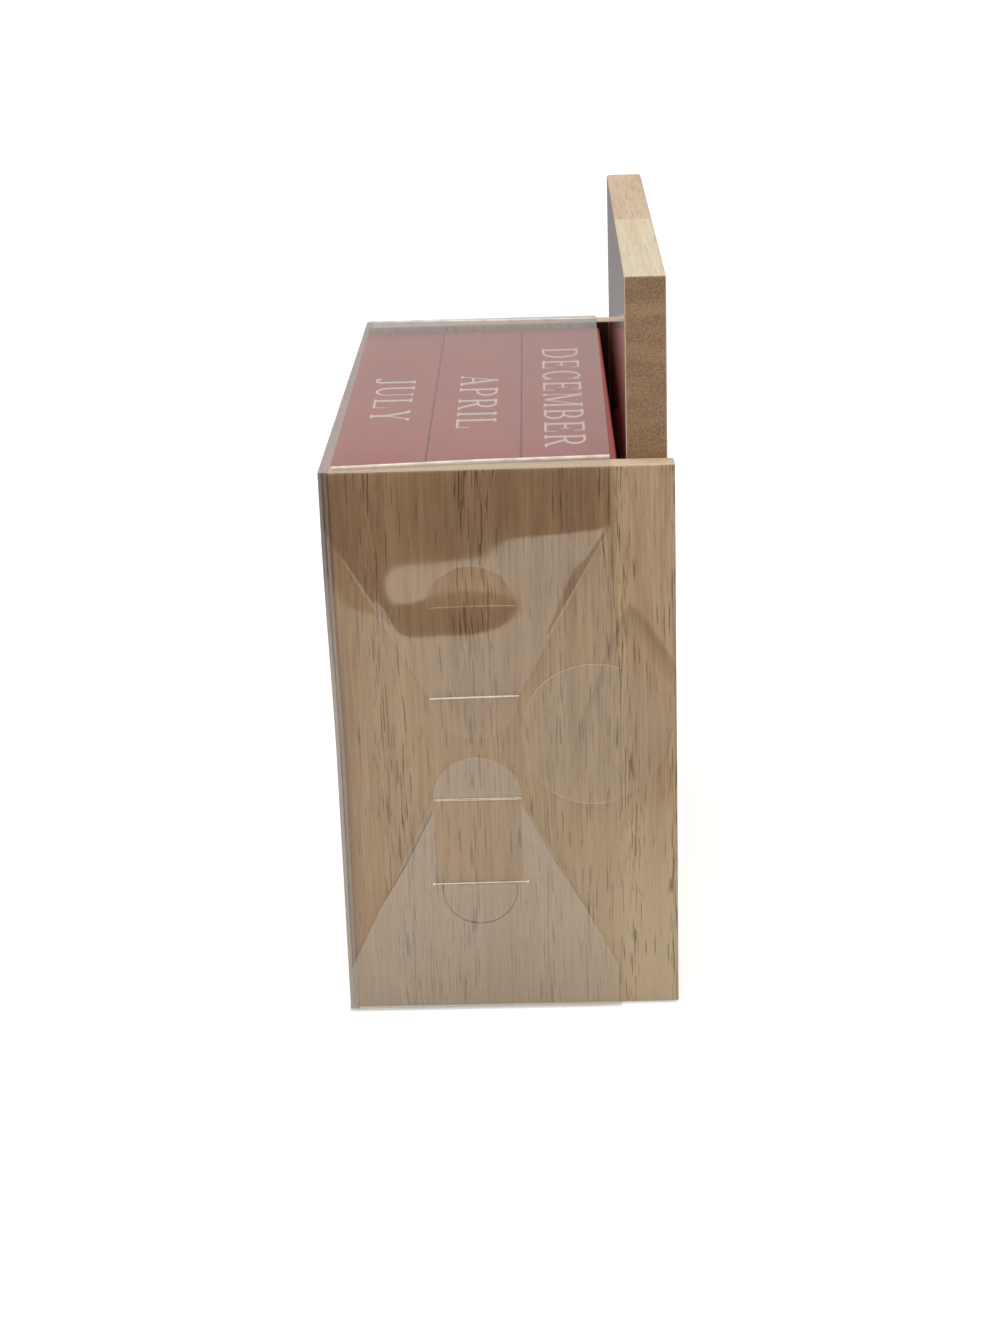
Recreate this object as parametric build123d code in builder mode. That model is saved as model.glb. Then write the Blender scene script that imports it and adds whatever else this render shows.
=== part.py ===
from build123d import *
import math
import os

os.makedirs("parts", exist_ok=True)

# Perpetual block calendar, in millimetres: a wooden case that is open at the front and the top, with a
# tall back board, three month bars lying over two date cubes, and two weekday bars under a shelf.
# A clear film cover is slipped over it from the front. X runs along the bars, the front faces -Y and
# Z is up. The origin is at the middle of the underside of the covered calendar.

# Boards of the case
side_thickness = 5.0
base_thickness = 7.5
shelf_thickness = 7.5
back_thickness = 7.5
back_rise = 33.0            # back board above the side panels
back_inset = 1.1            # back board in from the side panels' rear edges
board_edge_radius = 0.5
board_end_gap = 0.05        # glue line at each end of the boards between the sides

# Loose blocks
bar_side = 17.5             # square section of every bar
bar_rows = 3                # month bars lie three deep
bar_gap = 0.1               # between bars in one layer
bar_end_gap = 0.3           # between a bar's end and the side panel
block_front_gap = 0.3       # cubes and weekday bars behind the case's front edge
cube_rear_gap = 0.9         # behind the cubes
month_bar_ahead = 0.65      # month bars lie this far out of the case's front, at their middle
month_bar_skew = 0.4        # their left ends lie this much further out, their right ends further in
month_bar_recess = 1.4      # month bars below the side panels' top edges
bar_edge_radius = 0.4
weekday_headroom = 2.8      # above the weekday bars
cube_gap = 5.5              # between the cubes, and from each cube to its side panel
cube_edge_radius = 0.8
stack_gap = 0.1             # between the cubes and the month bars above them

# Finger joint that makes the back board from two staves
joint_offset = -3.5         # joint's middle line from the board's middle
finger_length = 8.0
finger_pitch = 7.0

# Blind dowels
dowel_radius = 2.0
dowel_glue_gap = 0.05
dowel_side_depth = 3.2      # hole in a side panel
dowel_board_depth = 11.5    # hole in a board's end
dowel_end_gap = 0.3
dowel_edge_margin = 13.0    # first and last dowel from the board's edges
back_dowel_count = 3

# Film cover
film = 0.3
film_gap = 0.1              # between layers of film, and between film and wood
cover_stand_off = 1.2       # front panel clear of the case
cover_short = 11.0          # cover stops short of the case's rear edge
flap_inset = 0.6            # tapered flap in from the edges of the panel that it folds from
top_shoulder = 10.5         # straight edge of the top flap before it tapers
bottom_shoulder = 8.5
tongue_width = 16.8
tongue_from_middle = 10.25  # slit that each tongue enters, above or below the cover's mid height
slit_clearance = 0.15
thumb_cut_from_middle = 27.65
thumb_cut_width = 16.0
thumb_cut_kerf = 0.4

# Round seals over the film's rear edge
seal_radius = 13.85
seal_thickness = 0.15
seal_gap = 0.05
seal_before_edge = 4.35
seal_above_middle = 2.35

# Sizes and heights that follow
cube_side = bar_rows * bar_side + (bar_rows - 1) * bar_gap
inner_width = 2 * cube_side + 3 * cube_gap
inner_depth = block_front_gap + cube_side + cube_rear_gap
case_width = inner_width + 2 * side_thickness
case_depth = inner_depth + back_thickness + back_inset
wood_bottom = film
base_top = wood_bottom + base_thickness
shelf_bottom = base_top + bar_side + weekday_headroom
shelf_top = shelf_bottom + shelf_thickness
month_bottom = shelf_top + cube_side + stack_gap
side_top = month_bottom + bar_side + month_bar_recess
side_height = side_top - wood_bottom
back_height = side_height + back_rise

# Places along Y, from the cover's front panel to the case's rear edge
cover_front = -(case_depth + cover_stand_off + film) / 2
case_front = cover_front + film + cover_stand_off
case_rear = case_front + case_depth
inner_rear = case_front + inner_depth
cover_rear = case_rear - cover_short

# Places along X of the layers at each end: tongue, slit flap, tapered flap
tongue_layer = case_width / 2 + film_gap
slit_layer = tongue_layer + film + film_gap
taper_layer = slit_layer + film + film_gap
cover_half_width = taper_layer + film

# Heights of the cover's panels
lid_bottom = side_top + film_gap
cover_middle_z = (film + lid_bottom) / 2
cover_middle_y = (cover_front + cover_rear) / 2


def keep(piece, name):
    """Labels a finished piece and writes it."""
    piece.part.label = name
    export_step(piece.part, f"parts/{name}.step")


def solid_block(width, depth, height, centre_x, front_y, bottom_z, radius):
    """A block with softened edges, placed by the middle of its front lower edge."""
    with BuildPart() as block:
        with BuildSketch(Plane.XY.offset(bottom_z)):
            with Locations((centre_x, front_y + depth / 2)):
                Rectangle(width, depth)
        extrude(amount=height)
        fillet(block.edges(), radius)
    return block


def dowel_holes(points, face_x, depth):
    """Blind holes along X from the face at face_x. A negative depth runs towards -X."""
    with BuildPart() as holes:
        with BuildSketch(Plane.YZ.offset(face_x)):
            with Locations(*points):
                Circle(dowel_radius + dowel_glue_gap)
        extrude(amount=depth)
    return holes


def dowel_set(points):
    """Dowels at both ends of a board, each half in the board and half in its side panel."""
    outer = inner_width / 2 + dowel_side_depth - dowel_end_gap
    inner = inner_width / 2 - dowel_board_depth + dowel_end_gap
    with BuildPart() as dowels:
        for end in (-1, 1):
            with BuildSketch(Plane.YZ.offset(end * inner)):
                with Locations(*points):
                    Circle(dowel_radius)
            extrude(amount=end * (outer - inner))
    return dowels


# Dowel centres in Y and Z
board_dowel_rows = (case_front + dowel_edge_margin, inner_rear - dowel_edge_margin)
base_points = [(y, wood_bottom + base_thickness / 2) for y in board_dowel_rows]
shelf_points = [(y, shelf_bottom + shelf_thickness / 2) for y in board_dowel_rows]
back_dowel_step = (side_height - 2 * dowel_edge_margin) / (back_dowel_count - 1)
back_points = [
    (inner_rear + back_thickness / 2, wood_bottom + dowel_edge_margin + i * back_dowel_step)
    for i in range(back_dowel_count)
]
side_points = base_points + shelf_points + back_points

# Side panels
side_middle = (inner_width + side_thickness) / 2
for side, end in (("left", -1), ("right", 1)):
    blank = solid_block(
        side_thickness,
        case_depth,
        side_height,
        end * side_middle,
        case_front,
        wood_bottom,
        board_edge_radius,
    )
    holes = dowel_holes(side_points, end * inner_width / 2, end * dowel_side_depth)
    with BuildPart() as side_panel:
        add(blank.part)
        add(holes.part, mode=Mode.SUBTRACT)
    keep(side_panel, f"{side}_side_panel")

# Base and shelf, with square ends and softened front edges
board_length = inner_width - 2 * board_end_gap
board_hole_depth = dowel_board_depth - board_end_gap
for name, thickness, bottom, points in (
    ("base_board", base_thickness, wood_bottom, base_points),
    ("shelf_board", shelf_thickness, shelf_bottom, shelf_points),
):
    holes = [dowel_holes(points, end * board_length / 2, -end * board_hole_depth) for end in (-1, 1)]
    with BuildPart() as board:
        with BuildSketch(Plane.XY.offset(bottom)):
            with Locations((0, case_front + inner_depth / 2)):
                Rectangle(board_length, inner_depth)
        extrude(amount=thickness)
        fillet(board.edges().filter_by(Axis.X).group_by(Axis.Y)[0], board_edge_radius)
        add([hole_set.part for hole_set in holes], mode=Mode.SUBTRACT)
    keep(board, name)

# Back board: one blank, parted along a zigzag into two staves
back_blank = solid_block(
    board_length, back_thickness, back_height, 0, inner_rear, wood_bottom, board_edge_radius
)
finger_count = max(1, round(back_height / finger_pitch))
half_finger = back_height / finger_count / 2
joint_line = [
    (joint_offset + finger_length / 2 * (-1) ** i, wood_bottom + i * half_finger)
    for i in range(2 * finger_count + 1)
]
stave_end = case_width / 2
with BuildPart() as right_of_joint:
    with BuildSketch(Plane.XZ.offset(-inner_rear)):
        with BuildLine():
            Polyline(
                *joint_line,
                (stave_end, wood_bottom + back_height),
                (stave_end, wood_bottom),
                close=True,
            )
        make_face()
    extrude(amount=-back_thickness)
for side, end, parting in (("left", -1, Mode.SUBTRACT), ("right", 1, Mode.INTERSECT)):
    holes = dowel_holes(back_points, end * board_length / 2, -end * board_hole_depth)
    with BuildPart() as stave:
        add(back_blank.part)
        add(right_of_joint.part, mode=parting)
        add(holes.part, mode=Mode.SUBTRACT)
    keep(stave, f"back_board_{side}_stave")

# Dowels
keep(dowel_set(base_points), "base_dowels")
keep(dowel_set(shelf_points), "shelf_dowels")
keep(dowel_set(back_points), "back_board_dowels")

# Month bars, front to rear, lying a little askew on the cubes
bar_length = inner_width - 2 * bar_end_gap
bar_pitch = bar_side + bar_gap
month_bar_turn = math.degrees(math.atan2(month_bar_skew, bar_length / 2))
for i, row in enumerate(("front", "middle", "rear")):
    front_y = case_front - month_bar_ahead + i * bar_pitch
    square = solid_block(bar_length, bar_side, bar_side, 0, front_y, month_bottom, bar_edge_radius)
    middle = Axis((0, front_y + bar_side / 2, 0), (0, 0, 1))
    with BuildPart() as month_bar:
        add(square.part.rotate(middle, month_bar_turn))
    keep(month_bar, f"month_bar_{row}")

# Weekday bars
for i, row in enumerate(("front", "middle")):
    front_y = case_front + block_front_gap + i * bar_pitch
    weekday_bar = solid_block(bar_length, bar_side, bar_side, 0, front_y, base_top, bar_edge_radius)
    keep(weekday_bar, f"weekday_bar_{row}")

# Date cubes
cube_middle = (cube_side + cube_gap) / 2
for side, end in (("left", -1), ("right", 1)):
    cube = solid_block(
        cube_side,
        cube_side,
        cube_side,
        end * cube_middle,
        case_front + block_front_gap,
        shelf_top,
        cube_edge_radius,
    )
    keep(cube, f"date_cube_{side}")

# Front panel of the cover, from the underside of the bottom panel to the top of the lid
with BuildPart() as cover_front_panel:
    with BuildSketch(Plane.XY):
        with Locations((0, cover_front + film / 2)):
            Rectangle(2 * (slit_layer + film), film)
    extrude(amount=lid_bottom + film)
keep(cover_front_panel, "cover_front_panel")

# Top and bottom panels, which fold back from the front panel
panel_depth = cover_rear - cover_front - film
for name, bottom in (("cover_top_panel", lid_bottom), ("cover_bottom_panel", 0)):
    with BuildPart() as panel:
        with BuildSketch(Plane.XY.offset(bottom)):
            with Locations((0, cover_front + film + panel_depth / 2)):
                Rectangle(2 * cover_half_width, panel_depth)
        extrude(amount=film)
    keep(panel, name)


def slit_flap(end):
    """Flap folded round from the front panel, with a slit for each tongue."""
    height = lid_bottom - film - 2 * film_gap
    with BuildPart() as flap:
        with BuildSketch(Plane.YZ.offset(end * slit_layer)):
            with Locations((cover_front + film + panel_depth / 2, cover_middle_z)):
                Rectangle(panel_depth, height)
            for way in (-1, 1):
                with Locations((cover_middle_y, cover_middle_z + way * tongue_from_middle)):
                    Rectangle(
                        tongue_width + 2 * slit_clearance,
                        film + 2 * slit_clearance,
                        mode=Mode.SUBTRACT,
                    )
        extrude(amount=end * film)
    return flap


def tapered_flap(end, way):
    """Flap folded from the top (way 1) or bottom (way -1) panel, with its tongue through the slit."""
    hinge_z = lid_bottom if way == 1 else film
    shoulder_z = hinge_z - way * (top_shoulder if way == 1 else bottom_shoulder)
    slit_z = cover_middle_z + way * tongue_from_middle
    thumb_z = cover_middle_z + way * thumb_cut_from_middle
    front_y = cover_front + film + flap_inset
    rear_y = cover_rear - flap_inset
    half_tongue = tongue_width / 2
    with BuildPart() as flap:
        # Tapered plate, outside the slit flap
        with BuildSketch(Plane.YZ.offset(end * taper_layer)):
            with BuildLine():
                Polyline(
                    (front_y, hinge_z),
                    (front_y, shoulder_z),
                    (cover_middle_y - half_tongue, slit_z),
                    (cover_middle_y + half_tongue, slit_z),
                    (rear_y, shoulder_z),
                    (rear_y, hinge_z),
                    close=True,
                )
            make_face()
        extrude(amount=end * film)
        # Curved thumb cut, open towards the tongue
        with BuildSketch(Plane.YZ.offset(end * taper_layer)):
            with Locations((cover_middle_y, thumb_z)):
                Circle((thumb_cut_width + thumb_cut_kerf) / 2)
                Circle((thumb_cut_width - thumb_cut_kerf) / 2, mode=Mode.SUBTRACT)
            with Locations((cover_middle_y, thumb_z + way * thumb_cut_width / 2)):
                Rectangle(2 * thumb_cut_width, thumb_cut_width, mode=Mode.INTERSECT)
        extrude(amount=end * film, mode=Mode.SUBTRACT)
        # Neck through the slit
        with BuildSketch(Plane.YZ.offset(end * tongue_layer)):
            with Locations((cover_middle_y, slit_z)):
                Rectangle(tongue_width, film)
        extrude(amount=end * (taper_layer + film - tongue_layer))
        # Round tongue between the slit flap and the wood
        with BuildSketch(Plane.YZ.offset(end * tongue_layer)):
            with Locations((cover_middle_y, slit_z)):
                Circle(half_tongue)
            with Locations((cover_middle_y, slit_z - way * half_tongue / 2)):
                Rectangle(tongue_width, half_tongue, mode=Mode.INTERSECT)
        extrude(amount=end * film)
    return flap


# End flaps and seals
seal_layer = slit_layer + film + seal_gap
for side, end in (("left", -1), ("right", 1)):
    keep(slit_flap(end), f"cover_{side}_side_flap")
    keep(tapered_flap(end, 1), f"cover_{side}_top_flap")
    keep(tapered_flap(end, -1), f"cover_{side}_bottom_flap")
    with BuildPart() as round_seal:
        with BuildSketch(Plane.YZ.offset(end * seal_layer)):
            with Locations((cover_rear - seal_before_edge, cover_middle_z + seal_above_middle)):
                Circle(seal_radius)
        extrude(amount=end * seal_thickness)
    keep(round_seal, f"{side}_round_seal")
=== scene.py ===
"""Looks of the perpetual block calendar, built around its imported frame.

The wooden case, the red blocks and their white lettering, and the clear film cover with its creased
flaps and round seals are each a class. Places are in the frame's own axes: X along the bars, -Y the
front, Z up. Sizes are in metres, or in millimetres where a class says so.
"""
import logging
import math
from dataclasses import dataclass, field
from enum import Enum
from typing import Callable, Iterable, Sequence

import bpy
from mathutils import Euler, Matrix, Vector
from mathutils.geometry import delaunay_2d_cdt


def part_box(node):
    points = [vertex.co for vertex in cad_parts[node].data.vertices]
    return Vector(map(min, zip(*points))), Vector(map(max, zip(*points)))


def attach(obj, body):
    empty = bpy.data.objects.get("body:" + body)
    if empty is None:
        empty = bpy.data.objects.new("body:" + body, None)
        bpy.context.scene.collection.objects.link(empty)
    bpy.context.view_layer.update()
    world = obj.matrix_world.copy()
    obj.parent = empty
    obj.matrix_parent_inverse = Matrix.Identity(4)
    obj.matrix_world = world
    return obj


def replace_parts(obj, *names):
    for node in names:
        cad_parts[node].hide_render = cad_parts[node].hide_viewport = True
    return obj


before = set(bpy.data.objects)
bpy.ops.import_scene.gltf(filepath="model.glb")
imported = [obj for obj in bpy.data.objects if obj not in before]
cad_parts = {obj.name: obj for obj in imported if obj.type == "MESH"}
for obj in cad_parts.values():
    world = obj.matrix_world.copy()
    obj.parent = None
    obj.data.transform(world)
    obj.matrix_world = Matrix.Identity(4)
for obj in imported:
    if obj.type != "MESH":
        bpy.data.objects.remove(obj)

log = logging.getLogger("calendar")

MM = 0.001
CLOSE = 1e-7  # Outline points that lie closer than this count as one

# Stroke widths of the lettering, in cap heights: uprights, hairlines, slopes and curves
STEM, HAIR = 0.155, 0.062
BROAD, FINE = STEM * 1.1, HAIR * 1.2
ROUND, SLIM = STEM * 1.05, STEM * 0.9

Point = tuple[float, float]
Colour = tuple[float, float, float]
Outline = list[Point]


class Side(Enum):
    """Which end of the calendar a piece belongs to."""

    LEFT = -1
    RIGHT = 1

    @property
    def word(self) -> str:
        """The side's name as it stands in node names."""
        return self.name.lower()


class Grain(Enum):
    """The axis that a board's grain runs along, with the two axes across it."""

    ALONG_X = ("X", "Y", "Z")
    ALONG_Z = ("Z", "Y", "X")


class Face(Enum):
    """Faces of a block: outward normal, reading direction and the way up of what is painted there."""

    FRONT = ((0, -1, 0), (1, 0, 0), (0, 0, 1))
    TOP = ((0, 0, 1), (1, 0, 0), (0, 1, 0))
    REAR = ((0, 1, 0), (1, 0, 0), (0, 0, -1))
    BOTTOM = ((0, 0, -1), (1, 0, 0), (0, -1, 0))
    RIGHT = ((1, 0, 0), (0, 1, 0), (0, 0, 1))
    LEFT = ((-1, 0, 0), (0, -1, 0), (0, 0, 1))


class Term:
    """A shader value that adds Math nodes when it is used in an expression."""

    def __init__(self, layout: "Layout", socket: bpy.types.NodeSocket) -> None:
        """Wraps one output socket of the layout's tree."""
        self.layout = layout
        self.socket = socket

    def _math(self, operation: str, *values: "Term | float") -> "Term":
        """A Math node of that operation on these values."""
        return self.layout.add("ShaderNodeMath", dict(enumerate(values)), {"operation": operation}).term(0)

    def __add__(self, other: "Term | float") -> "Term":
        """Sum."""
        return self._math("ADD", self, other)

    def __radd__(self, other: float) -> "Term":
        """Sum with the number first."""
        return self._math("ADD", other, self)

    def __sub__(self, other: "Term | float") -> "Term":
        """Difference."""
        return self._math("SUBTRACT", self, other)

    def __rsub__(self, other: float) -> "Term":
        """Difference with the number first."""
        return self._math("SUBTRACT", other, self)

    def __mul__(self, other: "Term | float") -> "Term":
        """Product."""
        return self._math("MULTIPLY", self, other)

    def __rmul__(self, other: float) -> "Term":
        """Product with the number first."""
        return self._math("MULTIPLY", other, self)

    def __pow__(self, other: "Term | float") -> "Term":
        """Power."""
        return self._math("POWER", self, other)

    def __abs__(self) -> "Term":
        """Absolute value."""
        return self._math("ABSOLUTE", self)

    def floor_at(self, least: float) -> "Term":
        """This value, or least where it is smaller."""
        return self._math("MAXIMUM", self, least)

    def step(self, low: float, high: float) -> "Term":
        """A smooth step from 0 at low to 1 at high."""
        inputs = {"Value": self, "From Min": low, "From Max": high}
        return self.layout.add("ShaderNodeMapRange", inputs, {"interpolation_type": "SMOOTHSTEP"}).term(0)


class Made:
    """A node that a layout has made."""

    def __init__(self, layout: "Layout", node: bpy.types.Node) -> None:
        """Wraps the node."""
        self.layout = layout
        self.node = node

    def term(self, output: int | str) -> Term:
        """The output of that name or number."""
        return Term(self.layout, self.node.outputs[output])


class Layout:
    """A node tree while its nodes are being laid out."""

    def __init__(self, tree: bpy.types.NodeTree) -> None:
        """Empties the tree."""
        self.tree = tree
        tree.nodes.clear()

    def add(self, kind: str, inputs: dict | None = None, settings: dict | None = None) -> Made:
        """Adds a node.

        Args:
            kind: The node's type.
            inputs: Values, terms or nodes for its sockets, by name or number. A list joins one socket.
            settings: Its properties, set first. "stops" fills a colour ramp.

        Returns:
            The node.
        """
        node = self.tree.nodes.new(kind)
        for key, value in (settings or {}).items():
            if key == "stops":
                self._fill_ramp(node.color_ramp, value)
            else:
                setattr(node, key, value)
        for key, value in (inputs or {}).items():
            for part in value if isinstance(value, list) else [value]:
                self._fill_socket(node.inputs[key], part)
        return Made(self, node)

    def _fill_socket(self, socket: bpy.types.NodeSocket, value: object) -> None:
        """Fills an input socket.

        Args:
            socket: The socket.
            value: A node or a term, which is linked, or a colour, a number or a material.
        """
        if isinstance(value, Made):
            value = value.term(0)
        if isinstance(value, Term):
            self.tree.links.new(value.socket, socket)
        elif socket.type == "RGBA":
            socket.default_value = (*value, 1.0)
        else:
            socket.default_value = value

    @staticmethod
    def _fill_ramp(ramp: bpy.types.ColorRamp, stops: Sequence[tuple[float, Colour]]) -> None:
        """Sets a colour ramp's stops.

        Args:
            ramp: The ramp.
            stops: A place and a colour for each.
        """
        while len(ramp.elements) < len(stops):
            ramp.elements.new(1.0)
        for element, (place, colour) in zip(ramp.elements, stops):
            element.position = place
            element.color = (*colour, 1.0)

    def blend(self, share: Term | float, first: Made, second: Made) -> Made:
        """A mix of two shaders, all second where share is 1."""
        return self.add("ShaderNodeMixShader", {0: share, 1: first, 2: second})


class Recipe(Layout):
    """One procedural material while its nodes are being laid out."""

    def __init__(self, name: str) -> None:
        """Starts an empty material.

        Args:
            name: Its name.
        """
        self.material = bpy.data.materials.new(name)
        self.material.use_nodes = True
        super().__init__(self.material.node_tree)

    def mix(self, share: Term | float, first: Colour | Term, second: Colour | Term) -> Term:
        """A mix of two colours, all second where share is 1."""
        settings = {"data_type": "RGBA", "clamp_factor": True}
        return self.add("ShaderNodeMix", {0: share, 6: first, 7: second}, settings).term(2)

    def _split(self, vector: Term) -> dict[str, Term]:
        """A vector's three parts, by axis letter."""
        split = self.add("ShaderNodeSeparateXYZ", {0: vector})
        return {letter: split.term(letter) for letter in "XYZ"}

    def axes(self) -> dict[str, Term]:
        """The object's own coordinates, by axis letter."""
        return self._split(self.add("ShaderNodeTexCoord").term("Object"))

    def facing(self) -> dict[str, Term]:
        """The surface's outward normal, by axis letter."""
        return self._split(self.add("ShaderNodeNewGeometry").term("Normal"))

    def noise(self, place: Iterable[Term], scales: float | Sequence[float], detail: float = 2.0) -> Term:
        """Fractal noise round 0.5.

        Args:
            place: Three coordinates.
            scales: How fine it is, along all three or along each.
            detail: How many finer layers lie over it.

        Returns:
            The noise.
        """
        each = scales if isinstance(scales, tuple) else (scales,) * 3
        scaled = {number: part * scale for number, (part, scale) in enumerate(zip(place, each))}
        spot = self.add("ShaderNodeCombineXYZ", scaled)
        inputs = {"Vector": spot, "Scale": 1.0, "Detail": detail, "Roughness": 0.55}
        return self.add("ShaderNodeTexNoise", inputs).term(0)

    def bump(self, height: Term, strength: float, distance: float) -> Made:
        """A Bump node for relief of that depth in metres."""
        inputs = {"Strength": strength, "Distance": distance, "Height": height}
        return self.add("ShaderNodeBump", inputs)

    def principled(self, colour: Colour | Term, roughness: Term | float, others: dict | None = None) -> Made:
        """A Principled shader, with other inputs by name."""
        inputs = {"Base Color": colour, "Roughness": roughness} | (others or {})
        return self.add("ShaderNodeBsdfPrincipled", inputs)

    def surface(self, shader: Made) -> bpy.types.Material:
        """Joins the shader to the output and returns the finished material."""
        self.add("ShaderNodeOutputMaterial", {"Surface": shader})
        return self.material


@dataclass(frozen=True)
class Rubberwood:
    """Bare sanded rubberwood with short dark pores, cut so that no two boards are alike.

    The arch is the place, in metres, of the top of a dark pointed figure, such as a flat-sawn face has.
    The cloud is the middle of a paler, yellower patch. Where inward is 1 or -1, the face that looks that
    way along X gets painted shade, a near-black red, in the narrow gap beside the painted back board.
    """

    name: str
    grain: Grain
    pale: Colour
    mid: Colour
    dark: Colour
    end_pale: Colour
    end_dark: Colour
    shift: float
    painted_front: Colour | None = None
    paint_thin: Colour = (0.30, 0.045, 0.035)
    arch: Point | None = None
    cloud: Point | None = None
    cloud_colour: Colour = (0.64, 0.50, 0.325)
    inward: int = 0
    # Painted shade for the narrow gap beside the back board: its near-black red, and where it starts and ends
    # along Y
    gap_shade: Colour = (0.035, 0.010, 0.006)
    gap_shade_from: float = 0.0165
    gap_shade_to: float = 0.0230
    # Spread of the pointed figure's front and rear limbs, and how fast the patch fades along Y and Z
    arch_power: float = 1.4
    arch_limbs: Point = (0.00105, 0.00058)
    cloud_falloff: Point = (45.0, 27.0)
    pore_share: float = 0.60
    pore_colour: Colour = (0.150, 0.066, 0.024)

    def figure(self, recipe: Recipe, place: Sequence[Term]) -> tuple[Term, Term, Term]:
        """Lays out the face's figure.

        Args:
            recipe: The material.
            place: Coordinates along, across and through the board.

        Returns:
            The tone, the fine fibres and the pores.
        """

        def layer(along: float, across: float, detail: float) -> Term:
            """Noise that is drawn out along the grain."""
            return recipe.noise(place, (along, across, across), detail)

        bands = layer(4.0, 60.0, 1.0)
        columns = layer(7.0, 190.0, 1.0)
        streaks = layer(16.0, 520.0, 2.0)
        fibres = layer(90.0, 2300.0, 2.0)
        short, long = layer(260.0, 3600.0, 1.0), layer(135.0, 2900.0, 0.0)
        crowd = (columns - 0.5) * 0.5
        pores = (short + crowd).step(0.60, 0.72) * 0.55 + (long + crowd).step(0.67, 0.75)
        tone = bands * 0.32 + columns * 0.30 + streaks * 0.42 + fibres * 0.44 - 0.24
        return tone, fibres, pores

    def material(self) -> bpy.types.Material:
        """Lays out the wood's nodes.

        Returns:
            The material.
        """
        recipe = Recipe(self.name)
        axes = recipe.axes()
        along, across, through = place = [axes[letter] + self.shift for letter in self.grain.value]
        sway = (recipe.noise(place, (12.0, 20.0, 20.0), 1.0) - 0.5) * 0.004
        tone, fibres, pores = self.figure(recipe, (along, across + sway, through))
        stops = ((0.33, self.dark), (0.50, self.mid), (0.67, self.pale))
        colour = recipe.add("ShaderNodeValToRGB", {0: tone}, {"stops": stops}).term(0)
        if self.arch is not None:
            colour = self.arched(recipe, axes, colour)
        if self.cloud is not None:
            colour = self.clouded(recipe, axes, colour)
        cut_end = abs(recipe.facing()[self.grain.value[0]]).step(0.6, 0.9)
        dots = recipe.noise(place, (900.0, 3400.0, 3400.0), 1.0)
        rings = recipe.noise(place, (60.0, 60.0, 420.0))
        end_tone = (dots * 0.62 + rings * 0.38).step(0.34, 0.68)
        colour = recipe.mix(pores * (1.0 - cut_end) * self.pore_share, colour, self.pore_colour)
        colour = recipe.mix(cut_end, colour, recipe.mix(end_tone, self.end_dark, self.end_pale))
        # Painted shade: the inward face darkens beside the back board, where the narrow gap lies in shade
        if self.inward:
            looks_in = (recipe.facing()["X"] * self.inward).step(0.6, 0.9)
            starts = axes["Y"].step(self.gap_shade_from, self.gap_shade_from + 0.003)
            ends = axes["Y"].step(self.gap_shade_to, self.gap_shade_to + 0.001)
            colour = recipe.mix(looks_in * starts * (1.0 - ends), colour, self.gap_shade)
        roughness = 0.56 + fibres * 0.18
        relief = fibres * 0.5 - pores + dots * cut_end
        others = {"IOR": 1.45}
        if self.painted_front is not None:
            painted = (recipe.facing()["Y"] * -1.0).step(0.86, 0.96)
            coat = recipe.mix(tone.step(0.3, 0.7) * 0.25, self.painted_front, self.paint_thin)
            colour = recipe.mix(painted, colour, coat)
            roughness = roughness - painted * 0.44
            relief = relief * (1.0 - painted * 0.93)
            others |= {"Coat Weight": painted * 0.9, "Coat Roughness": 0.08, "Coat IOR": 1.6}
        others["Normal"] = recipe.bump(relief, 0.35, 0.00010)
        return recipe.surface(recipe.principled(colour, roughness, others))

    def arched(self, recipe: Recipe, axes: dict[str, Term], colour: Term) -> Term:
        """Darkens the pointed figure along its edge, and lets it fade out below.

        Args:
            recipe: The material.
            axes: The board's coordinates.
            colour: The wood's colour without the figure.

        Returns:
            The colour with it.
        """
        peak_y, peak_z = self.arch
        wobble = recipe.noise([axes[letter] for letter in "YXZ"], (130.0, 130.0, 45.0))
        beside = axes["Y"] - peak_y + (wobble - 0.5) * 0.004
        before, behind = (beside * -1.0).floor_at(0.0), beside.floor_at(0.0)
        front, rear = self.arch_limbs
        limbs = (before * 1000.0) ** self.arch_power * front + (behind * 1000.0) ** self.arch_power * rear
        depth = peak_z - axes["Z"]
        below = depth - limbs
        edge = below.step(-0.0008, 0.0010) * (1.0 - below.step(0.001, 0.0065))
        edge = edge * (1.0 - depth.step(0.014, 0.036))
        inputs = {"Saturation": 1.08, "Value": 0.77, "Color": colour}
        return recipe.mix(edge, colour, recipe.add("ShaderNodeHueSaturation", inputs).term(0))

    def clouded(self, recipe: Recipe, axes: dict[str, Term], colour: Term) -> Term:
        """Lets the wood pale and yellow softly round one place on the board.

        Args:
            recipe: The material.
            axes: The board's coordinates.
            colour: The wood's colour without the patch.

        Returns:
            The colour with it.
        """
        cloud_y, cloud_z = self.cloud
        aside = (axes["Y"] - cloud_y) * self.cloud_falloff[0]
        above = (axes["Z"] - cloud_z) * self.cloud_falloff[1]
        share = (1.0 - (aside * aside + above * above)).floor_at(0.0)
        return recipe.mix(share * 0.75, colour, self.cloud_colour)


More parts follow.
